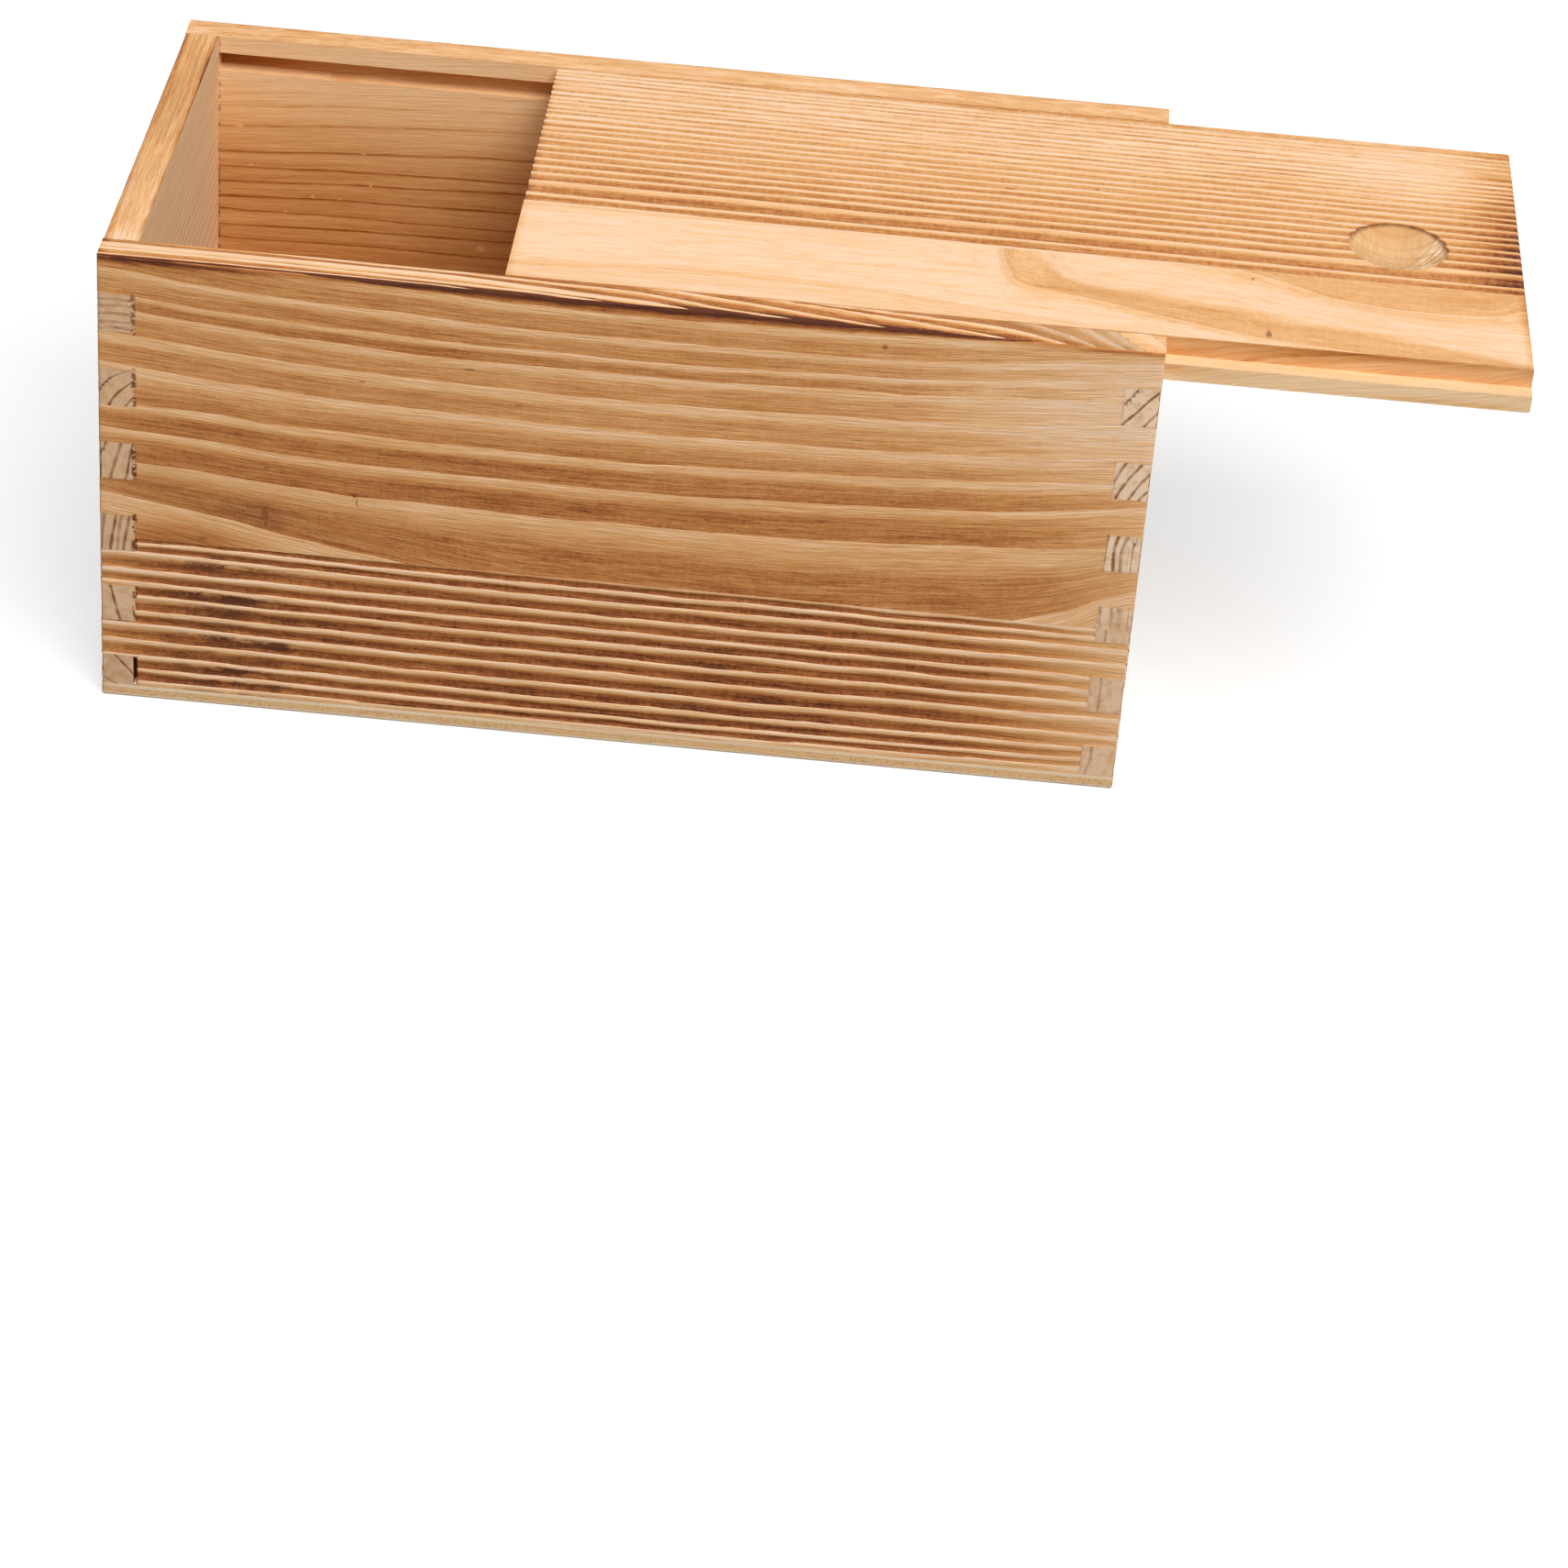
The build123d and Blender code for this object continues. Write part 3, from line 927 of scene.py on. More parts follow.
def near_box(across, height, low, high, bands):
    """The distance in mm to the outline of the nearest of the rectangles that the bands make."""
    nearest = np.full(len(across), FAR)
    for bottom, top in bands:
        dx = np.abs(across - (low + high) / 2) - (high - low) / 2
        dz = np.abs(height - (bottom + top) / MM / 2) - (top - bottom) / MM / 2
        outside = np.hypot(np.maximum(dx, 0), np.maximum(dz, 0))
        inside = np.minimum(np.maximum(dx, dz), 0)
        nearest = np.minimum(nearest, np.abs(outside + inside))
    return nearest


def joint_gap(points, axis):
    """The distance in mm to the nearest joint line of the corner, seen from the front or an end."""
    x, y, z = mm_columns(points)
    if axis == 1:
        return near_box(np.abs(x), z, END_INNER_X / MM, HALF_LENGTH / MM + BEYOND, END_FINGERS)
    if axis == 0:
        steps = WALL_FINGERS + [(TOP_FINGER, CASE_TOP + BEYOND * MM)]
        return near_box(np.abs(y), z, WALL_INNER_Y / MM, HALF_WIDTH / MM + BEYOND, steps)
    return np.abs(np.abs(y) - WALL_INNER_Y / MM)


def corner_gap(points):
    """The distance in mm to the upright glue line of the nearest corner. Outside the box, that
    line only shows beside the end panels' fingers."""
    x, y, z = mm_columns(points)
    aside = np.abs(np.abs(x) - END_INNER_X / MM)
    off_finger = np.full(len(x), FAR)
    for low, high in END_FINGERS:
        off = np.maximum(low / MM - z, z - high / MM)
        off_finger = np.minimum(off_finger, np.maximum(off, 0))
    return np.where(np.abs(y) > (WALL_INNER_Y + SANDED) / MM, np.hypot(aside, off_finger), aside)


AT_JOINT = SAMPLE + np.array([[END_INNER_X + 2 * MM, 0, 0]])
print("mm from the joint, far off and beside it:", joint_gap(SAMPLE, 1), joint_gap(AT_JOINT, 1).round(1))

# %% Read a mesh and write on it
def read_mesh(mesh):
    """A mesh's points, the point of each corner, and each corner's face normal and centre."""
    points = np.empty(len(mesh.vertices) * 3)
    mesh.vertices.foreach_get("co", points)
    corners = np.empty(len(mesh.loops), dtype=np.int64)
    mesh.loops.foreach_get("vertex_index", corners)
    counts = np.empty(len(mesh.polygons), dtype=np.int64)
    mesh.polygons.foreach_get("loop_total", counts)
    normals = np.empty(len(mesh.polygons) * 3)
    mesh.polygons.foreach_get("normal", normals)
    centres = np.empty(len(mesh.polygons) * 3)
    mesh.polygons.foreach_get("center", centres)
    return points.reshape(-1, 3), corners, counts, normals.reshape(-1, 3), centres.reshape(-1, 3)


def write_layer(mesh, name, *columns):
    """Keeps three numbers for each corner of the mesh as a named attribute."""
    layer = mesh.attributes.new(name, "FLOAT_VECTOR", "CORNER")
    layer.data.foreach_set("vector", np.stack(columns, axis=1).astype(np.float32).ravel())


print("points of the lid's rear board:", len(read_mesh(lid_rear.data)[0]))

# %% Sink the soft wood
# How deep below its level, in mm, a skin's relief still moves the points
RELIEF_REACH = 0.75


def sunk_depth(grain, relief):
    """How far the brush sank the wood, in mm: a sharp step above each ridge and a slow rise."""
    share = grain.ring - np.floor(grain.ring)
    up = share * grain.width
    down = grain.width - up
    step_up = np.clip((up + 0.35) / 0.9, 0, 1)
    step_down = np.clip((0.55 - down - 0.2) / 0.9, 0, 1)
    foot = np.maximum(grain.width - 1.5 * grain.ridge, 0.3 * grain.width)
    head = np.maximum(grain.width - 0.7 * grain.ridge, 0.5 * grain.width)
    rise = np.clip((up - 0.2 * foot) / np.maximum(head - 0.2 * foot, 0.2), 0, 1)
    smooth = [value * value * (3 - 2 * value) for value in (step_up, step_down, rise)]
    return relief * (0.4 + 0.6 * grain.burn) * (smooth[0] * (1 - smooth[2]) + smooth[1])


def sunk_points(points, skins):
    """A board's points after the brush has sunk the soft wood of its skins."""
    moved = points.copy()
    for each in skins:
        if each.relief > 0:
            depth = (each.level - points[:, each.axis]) * each.outward / MM
            near = np.clip(1 - depth / RELIEF_REACH, 0, 1)
            if each.where:
                near = near * each.where(points)
            pick = near > 0
            at_surface = Grain(*np.stack(each.field(points[pick])))
            fade = each.tone(points[pick])[2]
            sunk = sunk_depth(at_surface, each.relief) * near[pick] * (1 - fade)
            moved[pick, each.axis] -= each.outward * sunk * MM
    return moved


print("the sample place can sink", sunk_depth(FRONT_UPPER_FIELD(SAMPLE), 0.08).round(3), "mm")

# %% Dress a board
# Faces that meet at a smaller angle than this are shaded as one smooth surface
SMOOTH_BELOW = math.radians(42)


def dress(board, along_axis, field, skins, body, node, materials):
    """Gives a board its materials and its grain, sinks its soft wood and lets it ride."""
    mesh = board.data
    points, corners, counts, normals, centres = read_mesh(mesh)
    axis = np.abs(normals).argmax(axis=1)
    side = np.sign(normals[np.arange(len(axis)), axis])
    finish = np.where(axis == along_axis, SAWN, PLANED)
    owner = np.full(len(axis), -1)
    for index, each in enumerate(skins):
        here = (axis == each.axis) & (side == each.outward)
        here &= np.abs(centres[:, each.axis] - each.level) < each.depth * MM
        if each.where:
            here &= each.where(centres)
        owner[here] = index
        finish[here] = each.finish
    at = points[corners]
    corner_owner = np.repeat(owner, counts)
    corner_axis = np.repeat(axis, counts)
    # The rows of the grain are ring, width, ridge, burn and flow; those of the tone are toast,
    # soot, fading and glue dots
    grain = np.stack(field(at))
    tone = np.zeros((4, len(at)))
    look = np.tile(np.array(USUAL_LOOK)[:, None], len(at))
    for index, each in enumerate(skins):
        here = corner_owner == index
        if here.any():
            grain[:, here] = np.stack(each.field(at[here]))
            tone[:, here] = each.tone(at[here])
            look[:, here] = each.look(at[here]) if callable(each.look) else np.array(each.look)[:, None]
    along = at[:, along_axis] / MM
    through = at[:, 1 - along_axis] / MM
    facing = [corner_axis == 0, corner_axis == 1]
    gap = np.select(facing, [joint_gap(at, 0), joint_gap(at, 1)], joint_gap(at, 2))
    write_layer(mesh, "growth", grain[0], grain[1], grain[2])
    write_layer(mesh, "fibre", along, grain[4], through)
    write_layer(mesh, "finish", grain[3] * (1 - tone[2]), tone[0], tone[1])
    write_layer(mesh, "joint", gap, corner_gap(at), tone[3])
    write_layer(mesh, "look", look[0], look[1], look[2])

    moved = sunk_points(points, skins)
    mesh.vertices.foreach_set("co", moved.ravel())
    for material in materials:
        mesh.materials.append(material)
    mesh.polygons.foreach_set("material_index", finish.astype(np.int32))
    mesh.update()
    select_only(board)
    bpy.ops.object.shade_smooth_by_angle(angle=SMOOTH_BELOW)
    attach(board, body)
    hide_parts(node)
    print(board.name, "dressed,", round(float(np.abs(moved - points).max()) / MM, 2), "mm deepest")

# %% [markdown]
# ## Shared shader effects
#
# Two effects are used by all the wood, so each is a node group. One turns the ring coordinate
# into masks for the ridge, the scorched valley and the thin late line. The other makes the
# fibres: noise that is stretched along the grain and follows the growth lines.

# %% Helpers for node groups
def new_group(name, inputs, outputs):
    """An empty shader group with named sockets, and its input and output nodes."""
    tree = bpy.data.node_groups.new(name, "ShaderNodeTree")
    for socket_name, kind, value in inputs:
        kind = "NodeSocket" + kind
        socket = tree.interface.new_socket(socket_name, in_out="INPUT", socket_type=kind)
        if value is not None:
            socket.default_value = value
    for socket_name, kind in outputs:
        tree.interface.new_socket(socket_name, in_out="OUTPUT", socket_type="NodeSocket" + kind)
    return tree, tree.nodes.new("NodeGroupInput"), tree.nodes.new("NodeGroupOutput")


def between(tree, value, low, high, at_low=0.0, at_high=1.0):
    """A soft step from one value to another while the input goes from low to high."""
    inputs = {0: value, 1: low, 2: high, 3: at_low, 4: at_high}
    return wire(tree, "MapRange", inputs, interpolation_type="SMOOTHSTEP", clamp=True).outputs[0]


def stretched_noise(tree, vector, scale, detail=3.0, rough=0.55):
    """Noise of which each axis has its own scale."""
    scaled = wire(tree, "VectorMath", {0: vector, 1: scale}, operation="MULTIPLY").outputs[0]
    inputs = {"Vector": scaled, "Scale": 1.0, "Detail": detail, "Roughness": rough}
    return wire(tree, "TexNoise", inputs).outputs["Fac"]

# %% The growth ring group
def growth_ring_group():
    """Ring coordinate, ring width and ridge width in; masks and a height out."""
    tree, given, made = new_group(
        "growth_rings",
        [("Growth", "Vector", None), ("Fibre", "Vector", None), ("Waver", "Float", 0.12),
         ("Reach", "Float", 0.5)],
        [("Ridge", "Float"), ("Scorch", "Float"), ("Late line", "Float"), ("After line", "Float"),
         ("Thin line", "Float"), ("Height", "Float")],
    )
    parts = wire(tree, "SeparateXYZ", {0: given.outputs["Growth"]}).outputs
    noise = stretched_noise(tree, given.outputs["Fibre"], (0.16, 0.9, 0.5), detail=4.0, rough=0.65)
    shift = maths(tree, "MULTIPLY", maths(tree, "SUBTRACT", noise, 0.5), given.outputs["Waver"])
    shift = maths(tree, "DIVIDE", shift, parts[1])
    share = maths(tree, "FRACT", maths(tree, "ADD", parts[0], shift))
    up = maths(tree, "MULTIPLY", share, parts[1])
    down = maths(tree, "SUBTRACT", parts[1], up)
    ridge_foot = maths(tree, "MULTIPLY", parts[2], 1.35)
    ridge_head = maths(tree, "MULTIPLY", parts[2], 0.5)
    ridge = between(tree, down, ridge_head, ridge_foot, 1.0, 0.0)
    reach = given.outputs["Reach"]
    scorch_foot = maths(tree, "MULTIPLY", reach, 0.75)
    scorch_head = maths(tree, "MULTIPLY", reach, 1.45)
    scorch = between(tree, share, scorch_foot, scorch_head, 1.0, 0.0)
    late = between(tree, down, 0.1, 0.9, 1.0, 0.0)
    lip = between(tree, up, 0.0, 0.5, 1.0, 0.0)
    after = between(tree, up, 0.0, 2.5, 1.0, 0.0)
    thin = between(tree, maths(tree, "MINIMUM", up, down), 0.15, 0.6, 1.0, 0.0)
    height = maths(tree, "SUBTRACT", ridge, lip)
    for number, mask in enumerate((ridge, scorch, late, after, thin, height)):
        tree.links.new(mask, made.inputs[number])
    return tree


GROWTH_RINGS = growth_ring_group()
print("growth_rings has", len(GROWTH_RINGS.nodes), "nodes")

# %% The fibre group
# Each mask: its noise's scale along, across and through the grain, its detail and its roughness,
# and the two noise levels between which the mask goes from 0 to 1
FIBRE_MASKS = {
    "Broad": ((0.016, 0.42, 0.3), 3.0, 0.6, 0.3, 0.7),
    "Streak": ((0.055, 1.35, 0.8), 2.0, 0.6, 0.3, 0.7),
    "Fine": ((0.16, 3.3, 2.0), 2.0, 0.6, 0.3, 0.7),
    "Fleck": ((0.30, 1.9, 1.2), 1.0, 0.5, 0.66, 0.76),
    "Mottle": ((0.14, 0.4, 0.3), 4.0, 0.65, 0.3, 0.7),
    "Fuzz": ((1.1, 1.5, 1.5), 3.0, 0.7, 0.3, 0.7),
    "Hatch": ((0.85, 0.22, 0.3), 1.0, 0.5, 0.35, 0.65),
}


def fibre_group():
    """Streaks, flecks and mottling drawn out along the grain, and a hatch that runs across it."""
    outputs = [(name, "Float") for name in FIBRE_MASKS]
    tree, given, made = new_group("wood_fibres", [("Fibre", "Vector", None)], outputs)
    for name, (scale, detail, rough, low, high) in FIBRE_MASKS.items():
        noise = stretched_noise(tree, given.outputs["Fibre"], scale, detail, rough)
        tree.links.new(between(tree, noise, low, high), made.inputs[name])
    return tree


WOOD_FIBRES = fibre_group()
print("groups:", [group.name for group in bpy.data.node_groups])

# %% [markdown]
# ## Flamed pine
#
# The flame turns pine from straw through honey to a dark burnt brown. So the material first adds
# up one number, the toast, from the ring's masks, the fibres and the strokes on the board, and a
# colour ramp then turns it into wood. Mixing colours directly would soon look muddy.

# %% Parts that each wood material starts with
Wood = namedtuple("Wood", "material tree rings fibres burn toast soot gap corner dots pale streaks")
# A small mark: its middle and its reach along X, Y and Z, all in mm, and its strength
Mark = namedtuple("Mark", "middle reach strength")


def new_wood(name, waver):
    """A material with its grain attributes and both groups wired in."""
    material = bpy.data.materials.new(name)
    material.use_nodes = True
    tree = material.node_tree
    layers = {}
    for layer in ("growth", "fibre", "finish", "joint", "look"):
        layers[layer] = wire(tree, "Attribute", attribute_name=layer).outputs["Vector"]
    burn, toast, soot = wire(tree, "SeparateXYZ", {0: layers["finish"]}).outputs
    gap, corner, dots = wire(tree, "SeparateXYZ", {0: layers["joint"]}).outputs
    pale, reach, streaks = wire(tree, "SeparateXYZ", {0: layers["look"]}).outputs
    given = {"Growth": layers["growth"], "Fibre": layers["fibre"], "Waver": waver, "Reach": reach}
    rings = wire(tree, "Group", given, node_tree=GROWTH_RINGS).outputs
    fibres = wire(tree, "Group", {"Fibre": layers["fibre"]}, node_tree=WOOD_FIBRES).outputs
    return Wood(material, tree, rings, fibres, burn, toast, soot, gap, corner, dots, pale, streaks)


print("a wood material starts with:", *Wood._fields)

# %% Sums, ramps and mixes of masks
def centred(tree, value, strength):
    """Turns a mask from 0 to 1 into a change from minus half to plus half the strength."""
    return maths(tree, "MULTIPLY", maths(tree, "SUBTRACT", value, 0.5), strength)


def product(tree, *values):
    """The product of several sockets and numbers."""
    result = values[0]
    for value in values[1:]:
        result = maths(tree, "MULTIPLY", result, value)
    return result


def total(tree, *values):
    """The sum of several sockets."""
    result = values[0]
    for value in values[1:]:
        result = maths(tree, "ADD", result, value)
    return result


def ramp(tree, value, stops):
    """A colour ramp from (place, screen colour) stops."""
    node = wire(tree, "ValToRGB", {0: value})
    elements = node.color_ramp.elements
    while len(elements) < len(stops):
        elements.new(0.5)
    for element, (position, colour) in zip(elements, stops):
        element.position = position
        element.color = wood_colour(*colour)
    return node.outputs[0]


def blend_colour(tree, share, first, second):
    """Mixes two colours by a mask."""
    return wire(tree, "Mix", {0: share, 6: first, 7: second}, data_type="RGBA").outputs[2]

# %% Small marks, glue dots and the shader
def marked(tree, colour, marks, mark_colour):
    """Adds small marks to a colour, each an ellipse with a ragged edge."""
    if not marks:
        return colour
    place_here = wire(tree, "TexCoord").outputs["Object"]
    ragged = centred(tree, stretched_noise(tree, place_here, (900, 900, 900), detail=2.0), 0.9)
    for mark in marks:
        middle = [value * MM for value in mark.middle]
        scale = [1 / (value * MM) for value in mark.reach]
        offset = wire(tree, "VectorMath", {0: place_here, 1: middle}, operation="SUBTRACT")
        scaled = wire(tree, "VectorMath", {0: offset.outputs[0], 1: scale}, operation="MULTIPLY")
        away = wire(tree, "VectorMath", {0: scaled.outputs[0]}, operation="LENGTH").outputs["Value"]
        mask = between(tree, maths(tree, "ADD", away, ragged), 0.45, 1.0, mark.strength, 0.0)
        colour = blend_colour(tree, mask, colour, mark_colour)
    return colour


def glue_dots(wood):
    """A mask of dark dots down the upright glue lines of the corners."""
    tree = wood.tree
    place_here = wire(tree, "TexCoord").outputs["Object"]
    dotted = between(tree, stretched_noise(tree, place_here, (500, 500, 700), detail=1.0), 0.49, 0.56)
    beside = between(tree, wood.corner, 0.35, 0.85, 1.0, 0.0)
    return product(tree, dotted, beside, wood.dots)


def finish_wood(tree, colour, roughness, height, depth_mm):
    """Sends the colour, the roughness and a fine bump to the material's shader."""
    shader = tree.nodes["Principled BSDF"]
    tree.links.new(colour, shader.inputs["Base Color"])
    tree.links.new(roughness, shader.inputs["Roughness"])
    shader.inputs["Specular IOR Level"].default_value = 0.15
    bump = wire(tree, "Bump", {"Strength": 1.0, "Distance": depth_mm * MM, "Height": height})
    tree.links.new(bump.outputs[0], shader.inputs["Normal"])

# %% The flamed pine material
FLAME_TONES = (
    (0.0, (250, 213, 179)), (0.15, (247, 198, 149)), (0.3, (234, 179, 122)), (0.45, (220, 158, 98)),
    (0.6, (202, 135, 77)), (0.75, (176, 107, 57)), (0.88, (137, 76, 40)), (1.0, (80, 40, 25)),
)
SOOT_BROWN = wood_colour(104, 56, 35)
GLUE_BROWN = wood_colour(92, 40, 16)
MARK_BROWN = wood_colour(112, 62, 32)


def flamed_pine(name, marks=(), hatching=0.08):
    """Scorched and brushed pine, for the outer faces."""
    wood = new_wood(name, 0.35)
    tree, rings, fibres = wood.tree, wood.rings, wood.fibres
    valley = product(tree, wood.burn, rings["Scorch"], 0.5)
    scorched = total(tree, wood.toast, valley, product(tree, rings["After line"], wood.burn, 0.03))
    ridge = maths(tree, "SUBTRACT", 1.0, product(tree, rings["Ridge"], wood.pale))
    streaks = total(
        tree, centred(tree, fibres["Broad"], 0.12), centred(tree, fibres["Streak"], 0.17),
        centred(tree, fibres["Fine"], 0.12), centred(tree, fibres["Mottle"], 0.05),
        product(tree, fibres["Fleck"], 0.16), product(tree, centred(tree, fibres["Fuzz"], 0.32), valley),
        product(tree, centred(tree, fibres["Hatch"], hatching), valley),
    )
    tone = total(tree, product(tree, scorched, ridge), product(tree, streaks, wood.streaks))
    colour = ramp(tree, tone, FLAME_TONES)
    speckle = maths(tree, "MULTIPLY_ADD", fibres["Fuzz"], 0.6, 0.6)
    sooty = product(tree, wood.soot, between(tree, fibres["Mottle"], 0.1, 0.6), speckle)
    sooty = product(tree, sooty, maths(tree, "SUBTRACT", 1.0, rings["Ridge"]))
    colour = blend_colour(tree, sooty, colour, SOOT_BROWN)
    colour = blend_colour(tree, glue_dots(wood), colour, GLUE_BROWN)
    colour = marked(tree, colour, marks, MARK_BROWN)
    roughness = maths(tree, "MULTIPLY_ADD", rings["Ridge"], -0.12, 0.72)
    height = total(
        tree, product(tree, rings["Height"], 0.2, wood.burn), centred(tree, fibres["Fine"], 0.35),
        centred(tree, fibres["Streak"], 0.45), product(tree, centred(tree, fibres["Fuzz"], 0.5), valley),
    )
    finish_wood(tree, colour, roughness, height, 0.14)
    return wood.material

# %% [markdown]
# ## Planed, sawn and torn pine
#
# Inside, the boards are raw and planed: pale straw with orange late lines and almost no relief.
# Where a board was sawn across, the rings show as thin dark arcs in dull, open wood that is
# peppered with pores. The round cutter that made the thumb recess left the wood smooth on one side
# and tore it into slanted strokes on the other, so that has a material of its own.

# %% The planed pine material
PLANED_TONES = (
    (0.0, (253, 218, 176)), (0.3, (238, 189, 135)), (0.5, (216, 159, 102)), (0.7, (191, 124, 65)),
    (1.0, (142, 76, 30)),
)


def planed_pine(name="planed_pine", marks=(), mark_colour=GLUE_BROWN):
    """Raw planed pine, for the insides, the grooves and the stepped edges of the lid."""
    wood = new_wood(name, 0.3)
    tree, rings, fibres = wood.tree, wood.rings, wood.fibres
    late = product(tree, rings["Late line"], maths(tree, "MULTIPLY_ADD", fibres["Mottle"], 0.2, 0.28))
    after = product(tree, rings["After line"], 0.06)
    lines = product(tree, total(tree, late, after), wood.burn)
    tone = total(
        tree, wood.toast, lines, centred(tree, fibres["Broad"], 0.09),
        centred(tree, fibres["Streak"], 0.08), centred(tree, fibres["Fine"], 0.08),
        product(tree, fibres["Fleck"], 0.06),
    )
    colour = ramp(tree, tone, PLANED_TONES)
    colour = blend_colour(tree, glue_dots(wood), colour, GLUE_BROWN)
    colour = marked(tree, colour, marks, mark_colour)
    roughness = maths(tree, "MULTIPLY_ADD", fibres["Fine"], 0.12, 0.62)
    height = total(tree, centred(tree, fibres["Fine"], 0.6), centred(tree, fibres["Streak"], 0.5))
    finish_wood(tree, colour, roughness, height, 0.06)
    return wood.material


PLANED_PINE = planed_pine()
print("made", PLANED_PINE.name)

# %% The sawn end grain material
END_GRAIN = wood_colour(255, 225, 190)
END_TAN = wood_colour(200, 140, 86)
END_LINE = wood_colour(128, 76, 44)
PORE_BROWN = wood_colour(150, 96, 56)


def sawn_pine():
    """End grain, for the fingers' ends and the ends of the lid."""
    wood = new_wood("sawn_pine", 0.5)
    tree, rings = wood.tree, wood.rings
    spots = wire(tree, "TexCoord").outputs["Object"]
    pores = stretched_noise(tree, spots, (2200, 2200, 2200), detail=2.0)
    blotch = stretched_noise(tree, spots, (420, 420, 420), detail=3.0)
    colour = blend_colour(tree, wood.toast, END_GRAIN, END_TAN)
    colour = blend_colour(tree, between(tree, blotch, 0.42, 0.7, 0.0, 0.42), colour, END_TAN)
    broken = between(tree, blotch, 0.3, 0.6, 0.6, 1.0)
    colour = blend_colour(tree, product(tree, rings["Thin line"], wood.burn, broken), colour, END_LINE)
    colour = blend_colour(tree, between(tree, pores, 0.52, 0.75, 0.0, 0.45), colour, PORE_BROWN)
    seam = product(tree, between(tree, wood.gap, 0.05, 0.35, 1.0, 0.0), 0.12)
    colour = blend_colour(tree, seam, colour, GLUE_BROWN)
    colour = blend_colour(tree, glue_dots(wood), colour, GLUE_BROWN)
    colour = blend_colour(tree, wood.soot, colour, GLUE_BROWN)
    roughness = maths(tree, "MULTIPLY_ADD", pores, 0.1, 0.8)
    height = total(tree, centred(tree, pores, 0.8), product(tree, rings["Thin line"], -0.4))
    finish_wood(tree, colour, roughness, height, 0.08)
    return wood.material


SAWN_PINE = sawn_pine()
print("made", SAWN_PINE.name)

# %% The torn wood of the thumb recess
SCRAPED_PALE = wood_colour(252, 220, 176)
SCRAPED_TAN = wood_colour(203, 148, 88)
TORN_PALE = wood_colour(255, 228, 192)
TORN_TAN = wood_colour(194, 130, 72)


def torn_pine():
    """Wood that a round cutter scraped smooth, or tore where the look's third number says so."""
    wood = new_wood("torn_pine", 0.5)
    tree, rings = wood.tree, wood.rings
    spots = wire(tree, "TexCoord").outputs["Object"]
    turn = {"Vector": spots, "Angle": math.radians(35)}
    turned = wire(tree, "VectorRotate", turn, rotation_type="Z_AXIS").outputs[0]
    strokes = stretched_noise(tree, turned, (1500, 240, 240), detail=3.0, rough=0.6)
    scraped = stretched_noise(tree, spots, (1300, 130, 130), detail=3.0, rough=0.6)
    colour = blend_colour(tree, wood.toast, SCRAPED_PALE, SCRAPED_TAN)
    colour = blend_colour(tree, between(tree, scraped, 0.35, 0.68, 0.0, 0.45), colour, SCRAPED_TAN)
    lines = product(tree, rings["Thin line"], wood.burn, 0.5)
    colour = blend_colour(tree, lines, colour, TORN_TAN)
    dark = product(tree, between(tree, strokes, 0.36, 0.5, 1.0, 0.0), wood.streaks, 0.75)
    light = product(tree, between(tree, strokes, 0.5, 0.62), wood.streaks, 0.9)
    colour = blend_colour(tree, dark, colour, TORN_TAN)
    colour = blend_colour(tree, light, colour, TORN_PALE)
    colour = blend_colour(tree, wood.soot, colour, GLUE_BROWN)
    roughness = maths(tree, "MULTIPLY_ADD", scraped, 0.1, 0.72)
    height = total(tree, centred(tree, scraped, 0.3), product(tree, strokes, wood.streaks))
    finish_wood(tree, colour, roughness, height, 0.35)
    return wood.material


TORN_PINE = torn_pine()
print("made", TORN_PINE.name)

# %% [markdown]
# ## Dress the boards
#
# Now each board gets its skins. The tone of a skin is four numbers for each place: the toast that
# the flame left, the soot, how far the scorching fades out, and how thick the dots of glue are.
# Soft strokes make them uneven, as a hand with a burner does.

# %% Tones from strokes
def toned(base, across_axis, toast=(), soot=(), fade=(), dots=(), along_axis=0):
    """A skin's tone: an even toast, and soft strokes of toast, of soot, of fading and of glue."""
    def tone(points):
        along = points[:, along_axis] / MM
        height = points[:, across_axis] / MM
        faded = np.clip(brushed(fade, along, height), 0, 0.95)
        layers = (brushed(toast, along, height) + base, brushed(soot, along, height), faded)
        return np.stack((*layers, brushed(dots, along, height)))
    return tone


# Glue was squeezed out of the closed end's joints, and a little of it out of the open end's
GLUE = (Stroke(-117, 60, 4, 90, 0.9), Stroke(117, 60, 4, 90, 0.14))
INNER_GLUE = (Stroke(-117, 60, 4, 90, 0.6),)
print("toast at the sample place:", toned(0.2, 2, (Stroke(0, 85, 9, 9, 0.5),))(SAMPLE)[0].round(2))

# %% The front wall's strokes and marks
FRONT_TOAST = (
    Stroke(0, 70, 150, 11, 0.08), Stroke(125, 106, 50, 22, -0.24), Stroke(-130, 75, 16, 60, -0.02),
    Stroke(-106, 47, 22, 5, 0.42), Stroke(5, 121.8, 80, 1.6, 0.7), Stroke(-60, 100, 50, 20, 0.05),
    Stroke(-95, 121.4, 50, 1.0, 0.5), Stroke(0, 50, 80, 9, 0.04), Stroke(-118, 95, 14, 40, 0.05),
    Stroke(105, 121.6, 40, 0.8, 0.5),
)
FRONT_FADE = (
    Stroke(128, 105, 48, 26, 0.85), Stroke(-134, 75, 16, 70, 0.55), Stroke(128, 60, 20, 12, 0.75),
    Stroke(132, 74, 20, 8, 0.6),
)
FRONT_SOOT = (
    Stroke(-92, 56, 8, 3, 0.4), Stroke(-84, 54, 3, 4, 0.45), Stroke(-12, 121.8, 84, 1.2, 0.9),
)
LOWER_TOAST = (
    Stroke(130, 25, 26, 40, -0.14), Stroke(-130, 25, 12, 40, -0.06), Stroke(20, 10, 70, 25, 0.05),
)
